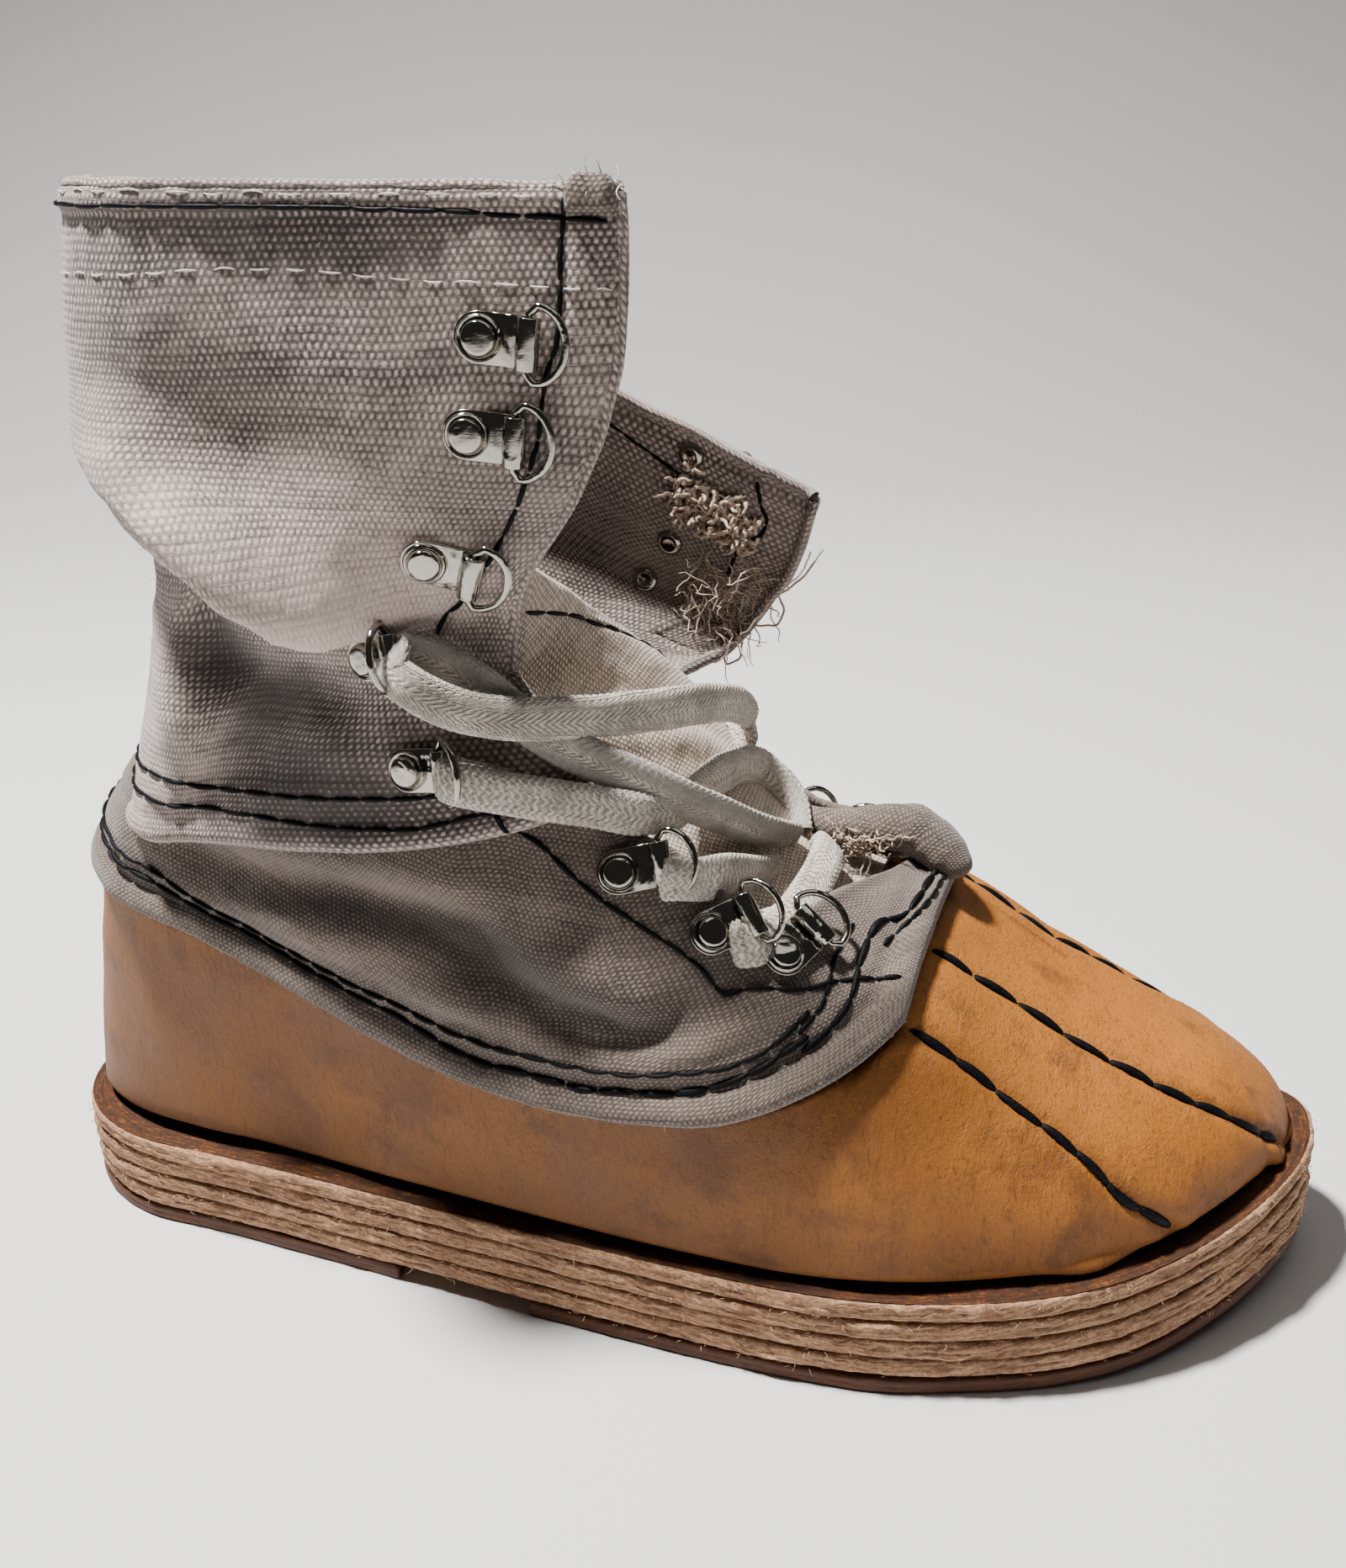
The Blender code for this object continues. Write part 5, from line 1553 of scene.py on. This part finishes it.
def add_clips(finishes):
    """The clips with their rivets, and the rings that hang in them."""
    turns = np.radians(np.linspace(90, -90, 22))
    arc_x = RING_CORNER + (RING_REACH - RING_CORNER) * np.cos(turns)
    straight = np.linspace(-RING_HALF + RING_CORNER, RING_HALF - RING_CORNER, 8)
    bar_side = np.stack([0 * straight, straight, 0 * straight], 1)
    round_side = np.stack([arc_x, RING_HALF * np.sin(turns), 0 * turns], 1)
    ring_path = np.concatenate([bar_side, round_side]) + (HEEL_CENTRE, 0, 0)
    bar = Matrix.Translation((BAR_OUT * MM, 0, CURL_OUTER * MM))
    for side, name in SIDES:
        for number, (where, lift) in enumerate(clip_frames(side), 1):
            bm = bmesh.new()
            plate_mesh(bm)
            lathe(bm, RIVET)
            merged(bm, 0.000002)
            bmesh.ops.transform(bm, matrix=where, verts=bm.verts)
            clip = f"{name}_clip_{number}"
            piece = finished(f"{clip}_skin", bm, finishes["nickel"], "nickel", replaces=(clip,))
            piece.data.set_sharp_from_angle(angle=math.radians(50))
            bm = bmesh.new()
            tube(bm, ring_path, RING_WIRE, up=(0, 0, 1), sides=10, closed=True)
            merged(bm, 0.000002)
            swung = where @ bar @ Matrix.Rotation(-math.radians(lift), 4, "Y")
            bmesh.ops.transform(bm, matrix=swung, verts=bm.verts)
            ring = f"{name}_ring_{number}"
            body = ring if number <= FREE_RINGS else "root"
            finished(f"{ring}_skin", bm, finishes["nickel"], "nickel", body=body, replaces=(ring,))


LACE_ROUTES = {
    # the upper bar, round the fourth outer ring, and down across the foot
    "lace_top_bar": table(
        "x y z across_x across_y across_z",
        (163, 19, 108, 0.2, 0.2, 1), (165.6, 18.5, 114, 0.1, 0.3, 1), (165.4, 12, 119.0, 0.0, 0.4, 1),
        (162, -4, 125.0, 0.1, 0.5, 0.9), (156.5, -20, 129, 0.1, 0.5, 0.9),
        (146.4, -35, 132.3, 0.2, 0.4, 0.9), (133.7, -46, 135.2, 0.2, 0.2, 1),
        (125.2, -49.5, 138, 0.4, 0.1, 0.9), (118.8, -50.4, 141.4, 0.6, 0.0, 0.8),
        (114.3, -49.2, 144.6, 0.75, 0.0, 0.65), (114.6, -46.4, 147.3, 0.8, 0.1, 0.6),
        (118.6, -44.6, 146.6, 0.7, 0.1, 0.7), (126.9, -43.2, 141.2, 0.5, 0.1, 0.85),
        (138, -39.5, 130.5, 0.45, 0.1, 0.85), (146, -36.5, 124.6, 0.4, 0.3, 0.85),
        (154, -32.5, 119.2, 0.5, 0.3, 0.8), (161, -27, 113.2, 0.6, 0.3, 0.7),
        (167, -19.5, 107.2, 0.7, 0.3, 0.6), (172.6, -9, 99.5, 0.7, 0.3, 0.6),
        (177.5, 3, 92.5, 0.6, 0.3, 0.7),
    ),
    # the fifth ring's bar, folded back at the inner edge
    "lace_crossings": table(
        "x y z across_x across_y across_z",
        (132, -42.6, 119.5, 0.1, 0.2, 1), (124, -44.6, 122, 0.1, 0.2, 1),
        (120.9, -47.2, 123.6, 0.1, 0.1, 1), (124, -49.4, 123.2, 0.1, 0.2, 1),
        (132, -48.2, 121.5, 0.1, 0.2, 1), (146, -41, 116.8, 0.15, 0.3, 0.95),
        (156, -33.5, 112.4, 0.2, 0.4, 0.9), (160.5, -24, 110.2, 0.1, 0.5, 0.9),
        (162.6, -12, 110.2, 0.0, 0.5, 0.9), (165.0, 1, 108.8, 0.0, 0.5, 0.9),
        (167.3, 10, 106.4, 0.1, 0.5, 0.9), (169, 15, 103.4, 0.3, 0.3, 0.9),
        (172.5, 16.5, 99.2, 0.6, 0.2, 0.7), (176, 14, 95.0, 0.7, 0.2, 0.6), (177.6, 8, 91.5, 0.8, 0.2, 0.5),
    ),
    # the sixth ring's short run under the others
    "lace_middle_run": table(
        "x y z across_x across_y across_z",
        (169, -33.4, 98.9, 0.3, 0.3, 0.9), (164.8, -38.4, 101.4, 0.2, 0.2, 1),
        (162.2, -40.8, 102.8, 0.2, 0.2, 1), (162.4, -42.6, 103.3, 0.2, 0.2, 1),
        (165.2, -40.4, 102.6, 0.3, 0.3, 0.9), (169, -32, 100.2, 0.3, 0.4, 0.85),
        (173, -20, 94.6, 0.3, 0.4, 0.85), (175.5, -8, 89.2, 0.3, 0.4, 0.85),
    ),
    # the bottom bar, round the seventh ring and up to the inner side
    "lace_bottom_bar": table(
        "x y z across_x across_y across_z",
        (178.5, -24, 86.0, 0.3, 0.2, 0.9), (174.8, -31.5, 87.4, 0.3, 0.2, 0.9),
        (173.6, -36.2, 88.6, 0.0, 0.1, 1), (174.6, -38.6, 88.4, -0.3, 0.1, 0.9),
        (177.6, -36.5, 88.0, -0.5, 0.1, 0.8), (181.0, -29.5, 88.4, -0.7, 0.1, 0.7),
        (183.8, -21, 89.6, -0.75, 0.1, 0.65), (185.8, -12, 91.4, -0.75, 0.1, 0.6),
        (186.4, -4, 92.4, -0.7, 0.1, 0.65), (185.8, 2.5, 91.4, -0.6, 0.1, 0.7),
        (184.0, 5, 88.6, -0.5, 0.1, 0.8),
    ),
}


def add_lace(finishes):
    for name, path in LACE_ROUTES.items():
        bm = bmesh.new()
        strap(bm, path, LACE_WIDTH, LACE_THICK)
        replaced = (name,) if name != "lace_middle_run" else ()
        finished(f"{name}_knit", merged(bm, 0.000005), finishes["lace"], "cotton_lace", replaces=replaced)


def threads_over(
    name, starts, headings, lengths, thick, finish, slot, rng, curl=0.5, sag=0.1, sides=4, steps=9
):
    """Loose threads that wander off from their starts, curling and sagging a little."""
    bm = bmesh.new()
    for start, heading, length in zip(starts, headings, lengths):
        points = [np.asarray(start, float)]
        way = unit(np.asarray(heading, float))
        for _ in range(steps):
            way = unit(way + rng.normal(0, curl, 3) * 0.6 + (0, 0, -sag))
            points.append(points[-1] + way * length / steps)
        share = np.linspace(0, 1, steps + 1)
        tube(bm, points, thick * (1 - 0.55 * share**2), up=(0.3, -0.9, 0.3), sides=sides)
    return finished(name, bm, finish, slot)


def add_stitching(finishes, skins, rng):
    """Every row of stitches; a row's numbers are its stitches' length, gap, half thickness and arch."""
    leg = skins["shaft"]

    def sew(name, skin, line, length, gap, thick, arch, *loose, thread="black", slot="canvas", inner=False):
        numbers = (length, gap, thick, arch)
        stitch_row(name, skin, line, *numbers, finishes[thread], slot, rng, *loose, inner=inner)

    inner_facing = {"turned": -FACING_LINE["turned"], "level": FACING_LINE["level"]}
    sew("facing_stitches", leg, FACING_LINE, 7, -0.3, 0.46, 0.6)
    sew("inner_facing_stitches", leg, inner_facing, 7, -0.3, 0.46, 0.6)
    sew("collar_stitches", leg, COLLAR_LINE, 8, -0.3, 0.46, 0.6)
    sew("band_upper_stitches", leg, BAND_LINES[0], 7, -0.3, 0.50, 0.6)
    sew("band_lower_stitches", leg, BAND_LINES[1], 7, -0.3, 0.50, 0.6)
    sew("band_end_stitches", leg, BAND_END_LINE, 6.5, -0.3, 0.50, 0.6)
    sew("rim_tacking", leg, RIM_LINE, 4.4, 3.4, 0.17, 0.35, 0.5, 0.8, thread="white")
    sew("collar_tacking", leg, TACKING_LINE, 4.2, 2.3, 0.17, 0.35, 0.4, 0.8, thread="white")
    sew("collar_inside_stitches", leg, INSIDE_COLLAR_LINE, 8, -0.2, 0.45, 0.4, inner=True)
    sew("facing_inside_stitches", leg, INSIDE_FACING_LINE, 6, -0.1, 0.5, 0.5, 0.5, inner=True)
    quarter_rows = (
        ("hem_stitches", by_angle(THICK_LINE, QUARTER_LIFT), 8, -0.5, 0.72, 0.75),
        ("thin_stitches", by_angle(THIN_LINE, QUARTER_LIFT), 7, -0.3, 0.52, 0.7),
        ("lower_facing_stitches", LOWER_FACING_LINE, 7, -0.3, 0.50, 0.55),
        ("front_stitches", THICK_FRONT_LINE, 7.5, -0.5, 0.68, 0.7),
        ("front_thin_stitches_1", THIN_FRONT_LINE, 5, -0.2, 0.5, 0.5),
        ("front_thin_stitches_2", SECOND_FRONT_LINE, 5, -0.2, 0.5, 0.5),
    )
    for side, name in ((-1, "outer"), (1, "inner")):
        for row, line, *stitches in quarter_rows:
            sew(f"{name}_{row}", skins["quarter", side], line, *stitches)
    toe_rows = (("near", -1, NEAR_SEAM), ("centre", -1, CENTRE_SEAM), ("far", 1, by_angle(FAR_SEAM)))
    for name, side, line in toe_rows:
        numbers = (SEAM_STITCH, -1.6, 1.0, 1.35, 0.5, 0.6)
        sew(f"{name}_toe_stitches", skins["leather", side], line, *numbers, slot="natural_leather")
    sew("tongue_hem_stitches", skins["tongue"], TONGUE_HEM_LINE, 6, -0.2, 0.46, 0.5, slot="tongue_canvas")
    sew("tongue_edge_stitches", skins["tongue"], TONGUE_EDGE_LINE, 6, -0.2, 0.46, 0.5, slot="tongue_canvas")


def add_flap_ends(finishes, leg):
    """Long ends of yarn that stand out past the inner flap's edge."""
    loops = (
        ((0.97, 0.66), ((0, 0, 0), (5, 1, -1), (10, 2, 1.5), (14, 3, 5.5), (17, 4, 10))),
        ((0.97, 0.67), ((0, 0, 1), (6, 1, 0), (10, 2, 2.6), (13, 3, 6.5), (14, 3, 9.5))),
        (
            (0.97, 0.56),
            ((0, 0, 0), (3, 0, 4), (8, 1, 4.6), (10.5, 1, 0.5), (8, 1, -4), (3, 0, -3.4), (0, 0, 0.5)),
        ),
        ((0.98, 0.45), ((0, 0, 0), (2, 0, -3), (1, 0, -7), (-2, 0, -8.5), (-3, 0, -6))),
    )
    bm = bmesh.new()
    for at, offsets in loops:
        base = leg.at(*at, -2.0)
        x, y, z = route(table("x y z", *offsets), np.linspace(0, 1, 30))
        points = base + np.stack([x, y, z], 1)
        points += 0.25 * np.stack([wander(points, 2.5, seed) for seed in (1.0, 5.0, 9.0)], 1)
        tube(bm, points, 0.3, up=(0.3, -0.9, 0.3), sides=5)
    finished("inner_flap_ends", bm, finishes["frayed"], "canvas")


def add_frays(finishes, skins, rng):
    """Cut ends of yarn: the tuft and the fringe on the inner flap, and the collar's outer corner."""
    leg = skins["shaft"]

    def fray(name, starts, headings, lengths, thick, thread, *ways):
        threads_over(name, starts, headings, lengths, thick, finishes[thread], "canvas", rng, *ways)

    def inside(turned, level):
        return leg.at(turned, level, -2.2), -leg.normal(turned, level)

    count = 230
    turned = 0.885 + rng.uniform(-0.055, 0.055, count)
    level = 0.865 + rng.normal(0, 0.022, count) - (turned - 0.885) * 0.3
    starts, headings = inside(turned, np.minimum(level, 0.96))
    headings = headings * 1.2 + rng.normal(0, 0.5, (count, 3))
    fray("inner_flap_tuft", starts, headings, rng.uniform(4, 7, count), 0.55, "frayed", 1.2, 0.02, 5, 8)
    count = 70
    turned = rng.uniform(0.88, 0.985, count)
    level = rng.uniform(0.42, 0.80, count)
    starts, headings = inside(turned, level)
    headings = headings * 0.7 + rng.normal(0, 0.6, (count, 3)) + (0.1, -0.2, -0.3)
    fray("inner_flap_fringe", starts, headings, rng.uniform(8, 22, count), 0.2, "frayed", 0.9, 0.12, 4, 14)
    add_flap_ends(finishes, leg)
    count = 34
    turned = rng.uniform(-1.0, -0.93, count)
    starts = leg.at(turned, 0.998, rng.uniform(-1.4, 0.4, count))
    forward = rng.normal(0.25, 0.5, count)
    aside = rng.normal(0, 0.4, count)
    headings = np.stack([forward, aside, rng.uniform(0.2, 1, count)], 1)
    fray("collar_corner_frays", starts, headings, rng.uniform(2, 5.5, count), 0.14, "white")


def add_fuzz(finishes, skins, rng):
    """Short hairs that soften the cloth's surface and edges."""
    leg = skins["shaft"]
    look = (finishes["fuzz"], "canvas")
    count = 900
    turned = rng.uniform(-1, 1, count)
    rim = rng.random(count) < 0.45
    level = np.where(rim, 0.999, rng.uniform(0.0, 1.0, count))
    starts = leg.at(turned, level, rng.uniform(-1.2, 0.2, count) * rim)
    headings = leg.normal(turned, level) + rng.normal(0, 0.7, (count, 3))
    headings += np.stack([0 * turned, 0 * turned, rim], 1)
    lengths = rng.uniform(0.6, 1.6, count)
    threads_over("shaft_fuzz", starts, headings, lengths, 0.05, *look, rng, 0.6, 0, 3, 3)
    starts = []
    headings = []
    count = 420
    for side in (-1, 1):
        skin = skins["quarter", side]
        x = rng.uniform(4, VAMP_START, count)
        angle = canvas_hem(x) + np.where(rng.random(count) < 0.5, 0.0, rng.uniform(0, 0.3, count))
        starts.append(skin.at(x, angle))
        headings.append(skin.normal(x, angle) + rng.normal(0, 0.7, (count, 3)))
    starts = np.concatenate(starts)
    headings = np.concatenate(headings)
    lengths = rng.uniform(0.6, 1.5, len(starts))
    threads_over("quarter_fuzz", starts, headings, lengths, 0.05, *look, rng, 0.6, 0, 3, 3)


def add_sole_hairs(finishes, rng):
    """Loose leather fibres along the edges of the sole's layers."""
    points, outward = sole_outline(0, LENGTH, 0.35)
    count = 1500
    at = rng.integers(0, len(points), count)
    layer = rng.integers(0, LAYERS, count)
    edge = rng.random(count) < 0.6
    bottom = TREAD + GAP + layer * (LAYER + GAP)
    corner = LAYER * np.where(rng.random(count) < 0.6, 0.97, 0.05)
    height = np.where(edge, corner, rng.uniform(0, LAYER, count))
    starts = points[at] + outward[at] * rng.uniform(-0.2, 0.35, count)[:, None]
    starts[:, 2] = bottom + height + spring(starts[:, 0])
    along = np.stack([-outward[at][:, 1], outward[at][:, 0], 0 * height], 1)
    headings = outward[at] * 0.5 + along * rng.normal(0, 1, count)[:, None] + rng.normal(0, 0.35, (count, 3))
    lengths = rng.uniform(0.6, 2.0, count)
    look = (finishes["sole_fibre"], "sole_leather")
    threads_over("sole_edge_fibres", starts, headings, lengths, 0.07, *look, rng, 0.5, 0.05, 3, 3)


def add_rolled_edge(finishes, rng):
    """The inner side's facing, rolled over itself at the front of the throat, with its cut yarns."""
    path = table(
        "x y z radius",
        (171.5, 19, 92.0, 0.1), (173, 18.6, 92.0, 1.9), (179, 15.5, 92.6, 3.0), (187, 12.5, 92.2, 4.0),
        (194, 12, 92.8, 5.2), (201, 12, 92.8, 5.7), (206.5, 11, 90.6, 5.4), (210, 9.4, 88.2, 5.0),
        (212.2, 8.2, 86.2, 4.0), (213.3, 7.5, 85.0, 2.6), (213.7, 7.2, 84.4, 0.1),
    )
    x, y, z, radius = route(path, np.linspace(0, 1, 64))
    points = np.stack([x, y, z], 1)
    radius = radius * (1 + 0.10 * wander(points, 8, 1.0) + 0.05 * wander(points, 3, 4.0))
    bm = bmesh.new()
    tube(bm, points, radius, radius * 0.92, up=(0, -0.3, 1), sides=30, cloth=True)
    finished("inner_facing_roll", merged(bm, 0.000005), finishes["quarter"], "canvas")
    count = 60
    centre = np.array((191.0, 7.6, 91.0))
    starts = centre + rng.normal(0, (3.4, 1.0, 1.8), (count, 3))
    headings = rng.normal(0, 0.6, (count, 3)) + (0, -1, 0.1)
    lengths = rng.uniform(3, 8, count)
    look = (finishes["frayed"], "canvas")
    threads_over("roll_frays", starts, headings, lengths, 0.27, *look, rng, 1.3, 0.05, 4, 10)


def add_heel_seam(finishes, skins):
    """The leather's closing seam, up the back of the heel."""
    heel = skins["leather", -1]
    angles = np.linspace(0.02, 1.0, 40) * (canvas_hem(np.array(6.0), 0.0) - 0.02)
    points = heel.plain(np.full(40, FOOT_BACK + 0.01), angles)
    points[:, 0] -= 0.7 + 0.25 * wander(points, 9, 2.0)
    bm = bmesh.new()
    tube(bm, points, 1.5, 1.35, up=(1, 0, 0.2), sides=16, square=4.0)
    finished("heel_seam", merged(bm, 0.000005), finishes["edge"], "natural_leather")


def add_rivet_backs(finishes):
    """The clips' rivets, clenched on the inside of the cloth."""
    inwards = Matrix.Translation((0, 0, -(GAP + CANVAS_WALL) * MM)) @ Matrix.Rotation(math.pi, 4, "X")
    for side, name in SIDES:
        for number, (where, _) in enumerate(clip_frames(side), 1):
            bm = bmesh.new()
            lathe(bm, RIVET_BACK, 22)
            merged(bm, 0.000002)
            bmesh.ops.transform(bm, matrix=where @ inwards, verts=bm.verts)
            finished(f"{name}_rivet_back_{number}", bm, finishes["nickel"], "nickel")


def main():
    rng = np.random.default_rng(8)
    finishes = make_finishes()
    skins = {"shaft": shaft_skin(), "tongue": tongue_skin()}
    for side in (-1, 1):
        skins["leather", side] = leather_skin(side)
        skins["quarter", side] = quarter_skin(side)
    add_sole(finishes)
    add_leather(finishes, skins)
    add_quarter(finishes, skins)
    add_shaft(finishes, skins)
    add_folded_edges(finishes, skins)
    add_tongue(finishes, skins)
    add_clips(finishes)
    add_rivet_backs(finishes)
    add_lace(finishes)
    add_stitching(finishes, skins, rng)
    add_frays(finishes, skins, rng)
    add_fuzz(finishes, skins, rng)
    add_sole_hairs(finishes, rng)
    add_rolled_edge(finishes, rng)
    add_heel_seam(finishes, skins)
    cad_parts["insole"].data.materials.clear()
    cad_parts["insole"].data.materials.append(finishes["leather"])


def add_camera():
    """Camera on the boot's outer side, a little behind its middle and above it."""
    azimuth = math.radians(15.07)
    pitch = math.radians(21.90)
    roll = math.radians(-2.52)
    ahead = Vector(
        (-math.sin(azimuth) * math.cos(pitch), math.cos(azimuth) * math.cos(pitch), -math.sin(pitch))
    )
    right = Vector((math.cos(azimuth), math.sin(azimuth), 0))
    up = right.cross(ahead)
    across = right * math.cos(roll) + up * math.sin(roll)
    level = Matrix([across, up * math.cos(roll) - right * math.sin(roll), -ahead])
    data = bpy.data.cameras.new("camera")
    data.sensor_width = 36
    data.lens = 34.76
    data.clip_start = 0.01
    camera = linked("camera", data)
    camera.matrix_world = Matrix.Translation(place((230.4, -289.0, 225.3))) @ level.transposed().to_4x4()
    bpy.context.scene.camera = camera


def add_studio():
    """A pale floor that curves up behind the boot, a high lamp, a broad soft fill and a grey room."""
    bm = bmesh.new()
    bmesh.ops.create_grid(bm, x_segments=60, y_segments=60, size=3.0)
    for vertex in bm.verts:
        away = max(0.0, vertex.co.y * 0.97 - vertex.co.x * 0.26 - 0.75)
        vertex.co.z = min(away * away * 0.55, 2.5)
    paper = Finish("pale_paper", Roughness=0.85, Specular_IOR_Level=0.25)
    where = paper.where()
    tint = paper.mix(paper.noise(where, 3, 2, 0.5), (0.60, 0.60, 0.60), (0.58, 0.574, 0.575))
    smooth_mesh("floor", bm, paper.wear(Base_Color=tint))
    lamps = (
        # name, place, size, watts, colour
        ("high_lamp", (-0.28, -0.06, 1.27), 0.15, 68.0, (1.0, 0.98, 0.955)),
        ("broad_fill", (0.5, 0.1, 1.6), 1.2, 5.0, (1.0, 0.985, 0.97)),
    )
    for name, at, size, watts, colour in lamps:
        data = bpy.data.lights.new(name, "AREA")
        data.shape = "DISK"
        data.size = size
        data.energy = watts
        data.color = colour
        lamp = linked(name, data)
        lamp.location = at
        aim = Vector((0.08, 0.0, 0.08)) - Vector(at)
        lamp.rotation_euler = aim.to_track_quat("-Z", "Y").to_euler()
    world = bpy.data.worlds.new("room")
    world.use_nodes = True
    world.node_tree.nodes["Background"].inputs["Color"].default_value = (1.0, 0.975, 0.95, 1)
    world.node_tree.nodes["Background"].inputs["Strength"].default_value = 0.04
    bpy.context.scene.world = world


add_camera()
add_studio()
main()
